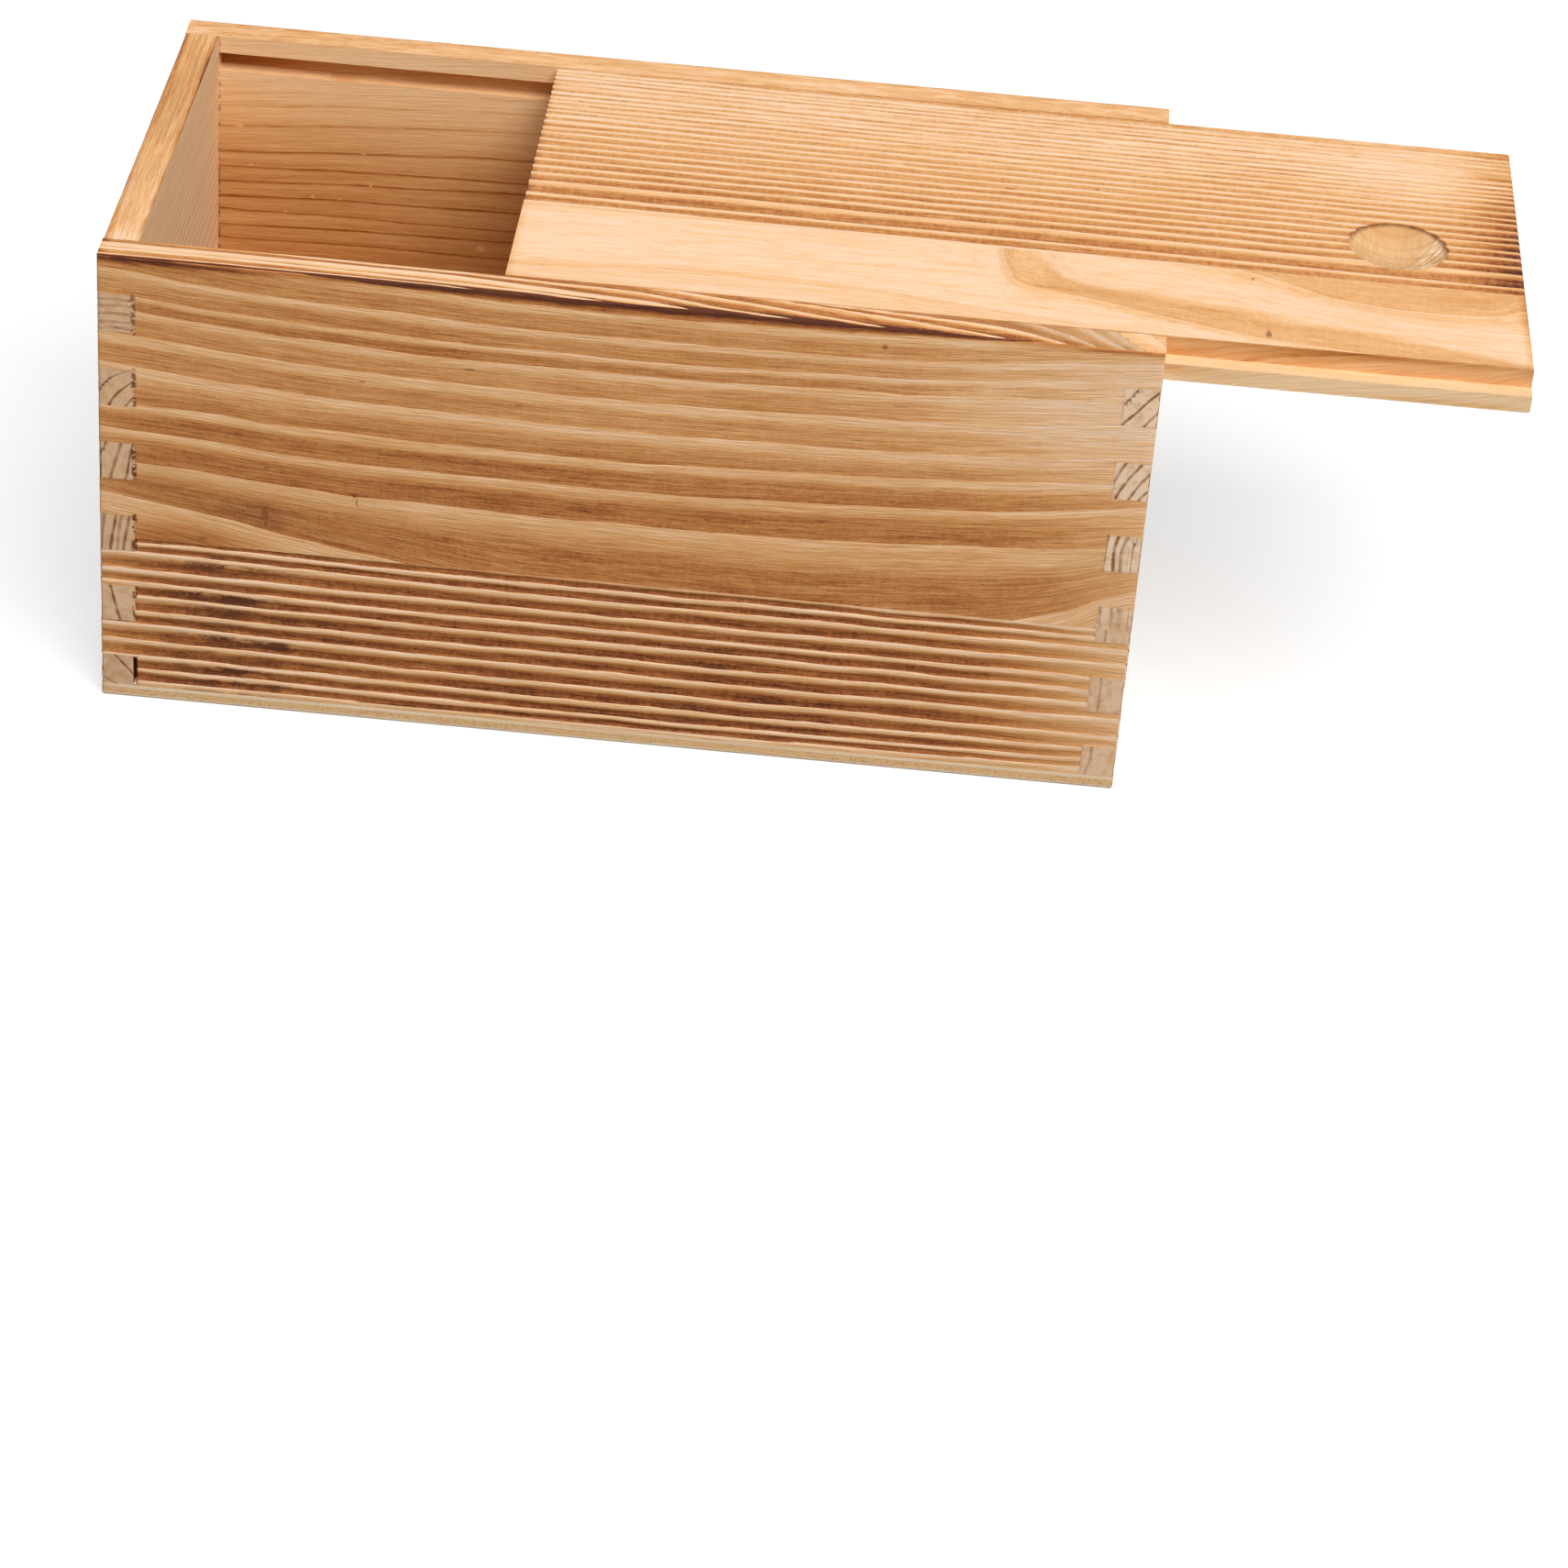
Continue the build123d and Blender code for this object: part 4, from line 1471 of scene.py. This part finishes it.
LOWER_FADE = (Stroke(133, 25, 32, 60, 0.85), Stroke(-130, 25, 12, 60, 0.4))
LOWER_SOOT = (
    Stroke(-94, 6.5, 14, 3.4, 1.0), Stroke(-93, 18.5, 14, 2.4, 1.0), Stroke(-81, 18, 3, 2.4, 1.0),
    Stroke(-95, 26, 13, 5, 0.8), Stroke(-96, 39.5, 13, 2.4, 1.0), Stroke(-80, 7, 4, 2, 0.8),
    Stroke(-93, 10.5, 13, 2, 1.0), Stroke(-94, 30.5, 12, 2, 0.9),
    Stroke(-56, 26, 3, 1.5, 0.7), Stroke(-71.5, 26.5, 1.5, 1.2, 0.9), Stroke(-98, 31, 10, 1.5, 0.7),
    Stroke(-70, 21.5, 2, 1, 0.7), Stroke(-93, 42.5, 6, 1.2, 0.7), Stroke(-96, 14, 12, 2, 0.6),
)
FRONT_MARKS = (
    Mark((60, -65, 116.8), (1.0, 3, 0.9), 0.6), Mark((-63.3, -65, 63.4), (0.9, 3, 0.6), 0.8),
    Mark((-62.8, -65, 61.5), (0.4, 3, 1.6), 0.5), Mark((-37, -65, 100.6), (1.8, 3, 0.4), 0.6),
    Mark((-62, -65, 94.7), (1.2, 3, 0.3), 0.6), Mark((-25, -65, 92.2), (1.4, 3, 0.35), 0.6),
    Mark((-85, -65, 55.5), (1.2, 3, 3.2), 0.4), Mark((-100, -65, 47.6), (1.6, 3, 0.7), 0.5),
    Mark((-77, -65, 94.4), (1.6, 3, 0.35), 0.4), Mark((65, -65, 101.5), (2.5, 3, 0.4), 0.35),
)
print(len(FRONT_TOAST + LOWER_TOAST), "strokes of toast and", len(FRONT_MARKS), "marks")

# %% Dress the front wall
FRONT_LOOK = (0.25, 0.62, 1.0)
DEEP_LOOK = (0.70, 0.56, 0.85)
FRONT_PINE = [flamed_pine("flamed_pine_front", FRONT_MARKS), PLANED_PINE, SAWN_PINE]
FLAMED_PINE = [flamed_pine("flamed_pine"), PLANED_PINE, SAWN_PINE]
TOP_TOAST = (
    Stroke(-10, -65.0, 98, 1.5, 0.75), Stroke(-10, -60, 90, 9, 0.05), Stroke(-120, -60, 40, 9, -0.06),
    Stroke(-95, -65.2, 50, 0.8, 0.5), Stroke(-125.6, -60, 1.6, 9, 0.45), Stroke(114, -61, 18, 9, -0.20),
)
TOP_SOOT = (Stroke(-12, -65.2, 84, 1.5, 1.0),)
front_upper_skins = [
    skin(1, -1, -HALF_WIDTH, FRONT_UPPER_FIELD, FLAMED,
         toned(0.25, 2, FRONT_TOAST, FRONT_SOOT, FRONT_FADE, GLUE), 0.08, FRONT_LOOK),
    skin(2, 1, CASE_TOP, top_field(FRONT_TOP_LINES, 0, 0.12, 31), FLAMED,
         toned(0.25, 1, TOP_TOAST, TOP_SOOT), 0.10, (0.85, 0.52, 1.0)),
]


def in_open_joint(points):
    """True on the faces of the open joint's slot, which are painted dark: burnt wood and painted shade."""
    low, high = np.array(OPEN_JOINT) + np.array([[-0.1], [0.1]]) * MM
    return ((points > low) & (points < high)).all(axis=1)


def slot_skins(side, level, field):
    """The slot's side face, which looks along X, and its back, which looks forwards."""
    # Both faces are painted as dark as the deepest scorch: burn, and painted shade deep in the narrow slot
    burnt = toned(1.0, 2)
    return [
        skin(0, side, level, field, PLANED, burnt, where=in_open_joint),
        skin(1, -1, OPEN_JOINT[1][1], field, PLANED, burnt, where=in_open_joint),
    ]


front_lower_skins = [
    skin(1, -1, -HALF_WIDTH, FRONT_LOWER_FIELD, FLAMED,
         toned(0.28, 2, LOWER_TOAST, LOWER_SOOT, LOWER_FADE, GLUE), 0.40, DEEP_LOOK),
    *slot_skins(-1, OPEN_JOINT[1][0], FRONT_LOWER_FIELD),
]
dress(front_upper, 0, FRONT_UPPER_FIELD, front_upper_skins, "case", "front_wall_upper_board", FRONT_PINE)
dress(front_lower, 0, FRONT_LOWER_FIELD, front_lower_skins, "case", "front_wall_lower_board", FLAMED_PINE)

# %% [markdown]
# ## The back wall's finish
#
# Inside, the real wall is planed and unflamed. Its colour is painted darker than raw pine and
# darkest low down, partly as painted shade deep in the box. It is palest at the top, partly as
# paler wood and partly as painted light. A few crumbs stick to it.
# They could be modelled, but they are hardly a millimetre wide, so they are marks in the colour.
# The bottom of the groove is painted darker than the wall around it, as painted shade under the
# lip, and darkest at its left end, as painted shadow of the closed end. So it is a skin of its own.

# %% Dress the back wall
INSIDE_MARKS = (
    Mark((-92, 56.5, 79), (0.7, 3, 0.5), 0.7), Mark((-85, 56.5, 79), (0.8, 3, 0.5), 0.6),
    Mark((-77, 56.5, 83.5), (0.6, 3, 0.5), 0.7), Mark((-79, 56.5, 92.5), (0.8, 3, 0.5), 0.6),
    Mark((-99, 56.5, 74), (0.6, 3, 0.5), 0.6), Mark((-108, 56.5, 86.5), (0.8, 3, 0.5), 0.6),
    Mark((-48, 56.5, 68.3), (1.6, 3, 1.1), 0.6), Mark((-111, 56.5, 97.5), (1.5, 3, 0.9), 0.7),
    Mark((-91, 56.5, 98.6), (0.9, 3, 0.5), 0.5),
)
# The inside's strokes: paler at the top, partly paler wood and partly painted light, and darker low down as
# painted shade deep in the box
INSIDE_TOAST_AND_PAINTED_SHADE = (Stroke(-80, 116, 140, 20, -0.42), Stroke(-78, 59, 40, 8, 0.14))
# Painted shadow: the closed end shades the groove's left end
GROOVE_PAINTED_SHADE = (Stroke(-118, 115, 22, 9, 0.45),)
BACK_TOP_TOAST = (
    Stroke(-80, 60, 50, 9, 0.06), Stroke(-124, 60, 10, 9, -0.1), Stroke(0, 64.6, 200, 0.8, 0.12),
)
BACK_TOP_FADE = (Stroke(0, 60, 300, 30, 0.75),)
CRUMB = wood_colour(240, 184, 116)
BACK_PINE = [FLAMED_PINE[0], planed_pine("planed_pine_back", INSIDE_MARKS, CRUMB), SAWN_PINE]
# The inside's even toast of 0.58 is partly the wood's warmer tone and partly painted shade, which paints
# the raw planed wall darker than raw pine
back_upper_skins = [
    skin(1, 1, HALF_WIDTH, BACK_UPPER_FIELD, FLAMED, toned(0.28, 2), 0.08, FRONT_LOOK),
    skin(1, -1, WALL_INNER_Y, BACK_INSIDE_FIELD, PLANED, toned(0.58, 2, INSIDE_TOAST_AND_PAINTED_SHADE, dots=INNER_GLUE)),
    # The groove's back is painted darker than the wall round it: painted shade under the lip
    skin(1, -1, GROOVE_Y, BACK_INSIDE_FIELD, PLANED, toned(0.44, 2, GROOVE_PAINTED_SHADE)),
    skin(2, 1, LEDGE_Z, BACK_INSIDE_FIELD, PLANED, toned(0.32, 1)),
    skin(2, 1, CASE_TOP, BACK_UPPER_FIELD, FLAMED,
         toned(0.16, 1, BACK_TOP_TOAST, fade=BACK_TOP_FADE), 0.0, (0.3, 0.5, 1.3)),
]
# Here too the inside's toast of 0.58 is partly the wood's tone and partly painted shade
back_lower_skins = [
    skin(1, 1, HALF_WIDTH, BACK_LOWER_FIELD, FLAMED, toned(0.32, 2), 0.40, DEEP_LOOK),
    skin(1, -1, WALL_INNER_Y, BACK_INSIDE_FIELD, PLANED, toned(0.58, 2, dots=INNER_GLUE)),
]
dress(back_upper, 0, BACK_UPPER_FIELD, back_upper_skins, "case", "back_wall_upper_board", BACK_PINE)
dress(back_lower, 0, BACK_LOWER_FIELD, back_lower_skins, "case", "back_wall_lower_board", BACK_PINE)

# %% [markdown]
# ## The end panels' finish
#
# The flame passed over the whole outside, but end grain takes it differently: the fingers' ends
# are greyer than the boards beside them, and the arcs in them stay thin and dark. So they get the
# sawn material. The closed end's top is evenly toasted and mottled with a few large, faint marks.

# %% The end panels' fields, strokes and marks
CLOSED_ENDS = finger_field(CLOSED_UPPER_ENDS, 41, CLOSED_TOP_FINGER, 97)
CLOSED_LOW_ENDS = finger_field(CLOSED_LOWER_ENDS, 42)
OPEN_ENDS = finger_field(OPEN_UPPER_ENDS, 43)
OPEN_LOW_ENDS = finger_field(OPEN_LOWER_ENDS, 44)
CLOSED_TOP_TOAST = (
    Stroke(-45, -125.2, 35, 0.9, 0.5), Stroke(40, -125.2, 40, 0.9, 0.5), Stroke(25, -116.5, 50, 0.5, 0.5),
    Stroke(-40, -116.5, 20, 0.5, 0.35), Stroke(-30, -123.2, 26, 0.9, -0.16), Stroke(30, -120, 28, 6, 0.08),
    Stroke(-38, -119, 16, 5, -0.06), Stroke(-55, -120, 3, 5, -0.25),
)
CLOSED_TOP_MARKS = (
    Mark((-120.8, 14, 122), (4.0, 26, 3), 0.16), Mark((-123.2, -28, 122), (1.6, 16, 3), 0.14),
    Mark((-118.6, 40, 122), (3.0, 12, 3), 0.10), Mark((-119.5, -20, 122), (2.0, 7, 3), 0.10),
)
print(len(CLOSED_TOP_TOAST), "strokes and", len(CLOSED_TOP_MARKS), "marks on the closed end's top")

# %% Dress the end panels
CLOSED_PINE = [flamed_pine("flamed_pine_closed_end", CLOSED_TOP_MARKS), PLANED_PINE, SAWN_PINE]


# A finger end of the open end that the flame caught, and the pale ones above it
SPOT_TOAST = (Stroke(121, 48, 3, 3, 0.4),)
PALE_FINGERS = (Stroke(120, 46, 30, 7, 0.7),)


def finger_skins(field, toast, fade=()):
    """The ends of an end panel's fingers, at the front and at the back."""
    tone = toned(toast, 2, SPOT_TOAST, fade=fade, dots=GLUE)
    return [skin(1, side, side * HALF_WIDTH, field, SAWN, tone) for side in (-1, 1)]


closed_upper_skins = [
    skin(0, -1, -HALF_LENGTH, CLOSED_UPPER_FIELD, FLAMED, toned(0.3, 2, along_axis=1), 0.12),
    skin(2, 1, CASE_TOP, top_field(CLOSED_TOP_LINES, 1, 0.2, 45), FLAMED,
         toned(0.33, 0, CLOSED_TOP_TOAST, along_axis=1), 0.02, (0.1, 0.5, 1.3)),
    *finger_skins(CLOSED_ENDS, 0.48),
]
closed_lower_skins = [
    skin(0, -1, -HALF_LENGTH, CLOSED_LOWER_FIELD, FLAMED, toned(0.3, 2, along_axis=1), 0.2),
    *finger_skins(CLOSED_LOW_ENDS, 0.44),
    *slot_skins(1, OPEN_JOINT[0][0], CLOSED_LOWER_FIELD),
]
open_upper_skins = [
    skin(0, 1, HALF_LENGTH, OPEN_UPPER_FIELD, FLAMED, toned(0.3, 2, along_axis=1), 0.12),
    *finger_skins(OPEN_ENDS, 0.08, PALE_FINGERS),
]
open_lower_skins = [
    skin(0, 1, HALF_LENGTH, OPEN_LOWER_FIELD, FLAMED, toned(0.3, 2, along_axis=1), 0.2),
    *finger_skins(OPEN_LOW_ENDS, 0.32),
]
for end, field, skins, node, pine in (
    (closed_upper, CLOSED_UPPER_FIELD, closed_upper_skins, "closed_end_upper_board", CLOSED_PINE),
    (closed_lower, CLOSED_LOWER_FIELD, closed_lower_skins, "closed_end_lower_board", FLAMED_PINE),
    (open_upper, OPEN_UPPER_FIELD, open_upper_skins, "open_end_upper_board", FLAMED_PINE),
    (open_lower, OPEN_LOWER_FIELD, open_lower_skins, "open_end_lower_board", FLAMED_PINE),
):
    dress(end, 1, field, skins, "case", node, pine)

# %% [markdown]
# ## The thumb recess
#
# A round cutter scooped the real recess out across the grain. It came out smooth where the cutter
# followed the fibres and torn where it met them head on, and the flame caught its rim. The tears
# could be left to a bump, but they show against the light, so the points are pushed down as well.

# %% Places in the thumb recess
# Two radii of the burnt rim in mm, for its soot and for the scorched wood around it
SOOTY_RIM = 11.8
SCORCHED_RIM = 12.0
TEAR_DEPTH = 0.25 * MM


def from_dish(points):
    """The distance in mm from the middle of the dish, seen from above."""
    return np.hypot(points[:, 0] - DISH_X, points[:, 1]) / MM


def outside_dish(points):
    """True where the lid's top isn't cut away by the dish."""
    return from_dish(points) > DISH_WIDTH / MM / 2 - 0.15


def inside_dish(points):
    """True in the dish."""
    return ~outside_dish(points)


def dish_columns(points):
    """The x and y columns in mm, counted from the middle of the dish."""
    x, y, _ = mm_columns(points)
    return x - DISH_X / MM, y


print("the recess is", round(DISH_WIDTH / MM, 1), "mm wide and its middle at x =", round(DISH_X / MM, 1))

# %% The recess's burnt rim and torn side
def burnt_rim(points, radius):
    """How far the flame burnt the dish's rim, from 0 to 1: most at the far side, none in front."""
    x, y = dish_columns(points)
    ring = np.exp(-((from_dish(points) - radius) / 0.48) ** 2)
    far = np.clip(0.55 + 0.085 * y + 0.02 * x, 0, 1)
    return ring * far * (0.8 + 0.2 * soft_noise(y / 1.3, x / 1.3, 51))


def dish_tone(points):
    """The dish is bare wood with a sooty rim, and painted shade makes it a little darker at the far side.
    """
    x, y = dish_columns(points)
    # Painted shade: the toast rises towards the dish's far side and falls off towards its right
    toast = 0.56 + 0.3 * np.clip((y - 3) / 9, 0, 1) - 0.1 * np.clip((x - 4) / 6, 0, 1)
    soot = 1.2 * burnt_rim(points, SOOTY_RIM)
    layers = (np.clip(toast, 0, 1), np.clip(soot, 0, 1), np.full_like(x, 0.25), np.zeros_like(x))
    return np.stack(layers)


def slanted(points):
    """Places in the dish across and along the strokes of the cutter, in mm."""
    x, y = dish_columns(points)
    return 0.82 * x - 0.57 * y, 0.57 * x + 0.82 * y


def torn_place(points):
    """How torn the dish's end grain is, from 0 to 1: most in its right side."""
    across, along = slanted(points)
    ragged = across + 1.5 * soft_noise(along / 2.5, across / 2.5, 54)
    return np.clip((ragged - 3) / 3.5, 0, 1) * np.clip((11.9 - from_dish(points)) / 0.8, 0, 1)


def torn_grain(points):
    """The torn end grain as slanted strokes, from -1 to 1."""
    across, along = slanted(points)
    return torn_place(points) * soft_noise(across / 0.7, along / 3.6, 53)


def dish_look(points):
    """The dish's right side is torn."""
    torn = torn_place(points)
    return np.stack((np.zeros_like(torn), np.full_like(torn, 0.5), torn))


print("torn at the recess's right edge:", torn_place(np.array([[DISH_X + 0.01, 0, 0]])).round(2))

# %% Tear the recess
dish_points = read_mesh(lid_rear.data)[0]
in_dish = inside_dish(dish_points) & (from_dish(dish_points) < 11.6)
in_dish &= dish_points[:, 2] > LID_SHOULDER_Z
dish_points[in_dish, 2] -= TEAR_DEPTH * np.abs(torn_grain(dish_points[in_dish]))
lid_rear.data.vertices.foreach_set("co", dish_points.ravel())
lid_rear.data.update()
print("points in the dish:", int(in_dish.sum()))

# %% [markdown]
# ## The lid's finish
#
# The lid's rear board was scorched and brushed, most along the seam and at its right end. Its front
# board only got a breath of the flame, so its figure stays pale, and the stepped edge that runs in
# the groove is nearly raw. The two boards could have a material each. One serves both, because
# their strokes and their look make all the difference.

# %% The lid's strokes and marks
REAR_TOAST = (
    Stroke(213, 10, 13, 55, 0.44), Stroke(185, 42, 22, 20, -0.06), Stroke(60, 46, 200, 14, -0.03),
    Stroke(60, -10, 180, 9, 0.09), Stroke(-31, 20, 1.2, 60, 0.25), Stroke(58, 19.6, 2, 0.8, -0.3),
    Stroke(40, -10.5, 3, 0.6, -0.25), Stroke(70, -6.5, 4, 0.6, -0.3), Stroke(30, 46, 2, 0.8, -0.2),
)
REAR_FADE = (Stroke(185, 42, 22, 16, 0.65),)
FRONT_LID_TOAST = (
    Stroke(120, -37.5, 16, 1.8, 0.10), Stroke(140, -41.5, 14, 1.6, 0.10), Stroke(175, -46.5, 16, 1.4, 0.13),
    Stroke(197, -25, 9, 3, 0.09), Stroke(160, -29, 9, 1.2, 0.05), Stroke(128, -48, 22, 1.2, 0.06),
    Stroke(-31, -40, 1.2, 40, 0.3), Stroke(211.5, -36, 1.2, 22, 0.6), Stroke(30, -57, 200, 1.0, 0.2),
    Stroke(95, -37.5, 6, 0.8, 0.12),
)
SIDE_TOAST = (
    Stroke(165, 121.6, 50, 0.7, 0.2), Stroke(128, 118.5, 12, 1.6, 0.15), Stroke(148, 120, 14, 1.0, 0.12),
    Stroke(172, 121.2, 20, 0.9, 0.12),
)
TONGUE_TOAST = (
    Stroke(192, 113.6, 22, 0.6, 0.3), Stroke(126, 116, 14, 1.6, 0.3), Stroke(145, 113.6, 12, 0.8, 0.08),
)
SIDE_FADE = (Stroke(100, 0, 300, 400, 0.95),)
FLAME_TIP_FADE = (Stroke(92, -24, 6, 9, 0.35),)
LID_MARKS = (
    Mark((86, 12, 122), (2.0, 0.7, 3), 0.45), Mark((107.5, 15.7, 122), (0.8, 0.8, 3), 0.5),
    Mark((149, -51, 122), (0.9, 2.2, 3), 0.65), Mark((145.5, -24, 122), (0.5, 1.1, 3), 0.6),
)
print(len(REAR_TOAST + FRONT_LID_TOAST), "strokes of toast and", len(LID_MARKS), "marks")

# %% Dress the lid
LID_PINE = [flamed_pine("flamed_pine_lid", LID_MARKS, 0.24), PLANED_PINE, SAWN_PINE, TORN_PINE]


def rear_tone(points):
    """The rear board's strokes, and the burnt rim of the dish."""
    tones = toned(0.11, 1, REAR_TOAST, fade=REAR_FADE)(points)
    tones[0] += 0.6 * burnt_rim(points, SCORCHED_RIM)
    return tones


def rear_look(points):
    """The scorch fills the valleys near the seam, and only their deepest part further back."""
    back = np.clip((points[:, 1] / MM - 20) / 16, 0, 1)
    return np.stack((np.full_like(back, 0.5), 0.56 - 0.2 * back, 0.9 + 0.6 * back))


lid_rear_skins = [
    skin(2, 1, CASE_TOP, LID_REAR_FIELD, FLAMED, rear_tone, 0.15, rear_look, where=outside_dish),
    skin(2, 1, CASE_TOP, LID_REAR_FIELD, TORN, dish_tone, 0.0, dish_look, 4.0, inside_dish),
    skin(0, -1, LID_IN_X, LID_REAR_FIELD, SAWN, toned(0.3, 1), 0.6),
]
TONGUE_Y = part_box("lid_front_board")[0].y
lid_front_skins = [
    skin(2, 1, CASE_TOP, LID_FRONT_FIELD, FLAMED,
         toned(0.06, 1, FRONT_LID_TOAST, fade=FLAME_TIP_FADE), 0.0, (0.2, 0.9, 0.7)),
    skin(1, -1, -LID_SHOULDER_Y, LID_FRONT_FIELD, PLANED, toned(0.40, 2, SIDE_TOAST), depth=0.3),
    skin(2, 1, LID_SHOULDER_Z, LID_FRONT_FIELD, PLANED, toned(0.17, 1, fade=SIDE_FADE), depth=0.3),
    skin(1, -1, TONGUE_Y, LID_FRONT_FIELD, PLANED, toned(0.08, 2, TONGUE_TOAST, fade=SIDE_FADE),
         depth=0.3),
]
dress(lid_rear, 0, LID_REAR_FIELD, lid_rear_skins, "lid", "lid_rear_board", LID_PINE)
dress(lid_front, 0, LID_FRONT_FIELD, lid_front_skins, "lid", "lid_front_board", LID_PINE)

# %% [markdown]
# ## Plywood
#
# The base's edge shows its plies: a smooth grey-beige one above and below, and between them a
# core that was cut across its grain and is stippled with brown. The ply is known by its
# height, so the material reads the Z of the Object coordinates.

# %% The plywood base
PLY_FACE = wood_colour(248, 223, 190)
PLY_CORE = wood_colour(234, 191, 140)
PLY_PORE = wood_colour(158, 104, 58)
PLY_BLUR = 0.08 * MM


def plywood():
    """Raw three-ply plywood with a stippled core."""
    material = bpy.data.materials.new("plywood")
    material.use_nodes = True
    tree = material.node_tree
    spots = wire(tree, "TexCoord").outputs["Object"]
    height = wire(tree, "SeparateXYZ", {0: spots}).outputs[2]
    wavy = maths(tree, "ADD", height, centred(tree, stretched_noise(tree, spots, (90, 90, 90)), 0.4 * MM))
    low_ply = between(tree, wavy, PLY_STEPS[0] - PLY_BLUR, PLY_STEPS[0] + PLY_BLUR)
    high_ply = between(tree, wavy, PLY_STEPS[1] - PLY_BLUR, PLY_STEPS[1] + PLY_BLUR, 1.0, 0.0)
    core = maths(tree, "MULTIPLY", low_ply, high_ply)
    fibres = stretched_noise(tree, spots, (60, 60, 2600), detail=4.0)
    stipple = stretched_noise(tree, spots, (1500, 1500, 2200), detail=3.0, rough=0.7)
    colour = blend_colour(tree, core, PLY_FACE, PLY_CORE)
    stippled = maths(tree, "MULTIPLY_ADD", core, 0.55, 0.12)
    pores = maths(tree, "MULTIPLY", between(tree, stipple, 0.5, 0.68), stippled)
    colour = blend_colour(tree, pores, colour, PLY_PORE)
    colour = blend_colour(tree, between(tree, fibres, 0.45, 0.7, 0.0, 0.3), colour, PLY_CORE)
    face_grain = stretched_noise(tree, spots, (9, 330, 60), detail=5.0, rough=0.65)
    colour = blend_colour(tree, between(tree, face_grain, 0.42, 0.68, 0.0, 0.4), colour, PLY_CORE)
    roughness = maths(tree, "MULTIPLY_ADD", stipple, 0.1, 0.78)
    finish_wood(tree, colour, roughness, total(tree, stipple, fibres), 0.12)
    return material


base_sheet.data.materials.append(plywood())
select_only(base_sheet)
bpy.ops.object.shade_smooth_by_angle(angle=SMOOTH_BELOW)
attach(base_sheet, "case")
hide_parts("base")
print(base_sheet.name, "dressed with", base_sheet.data.materials[0].name)
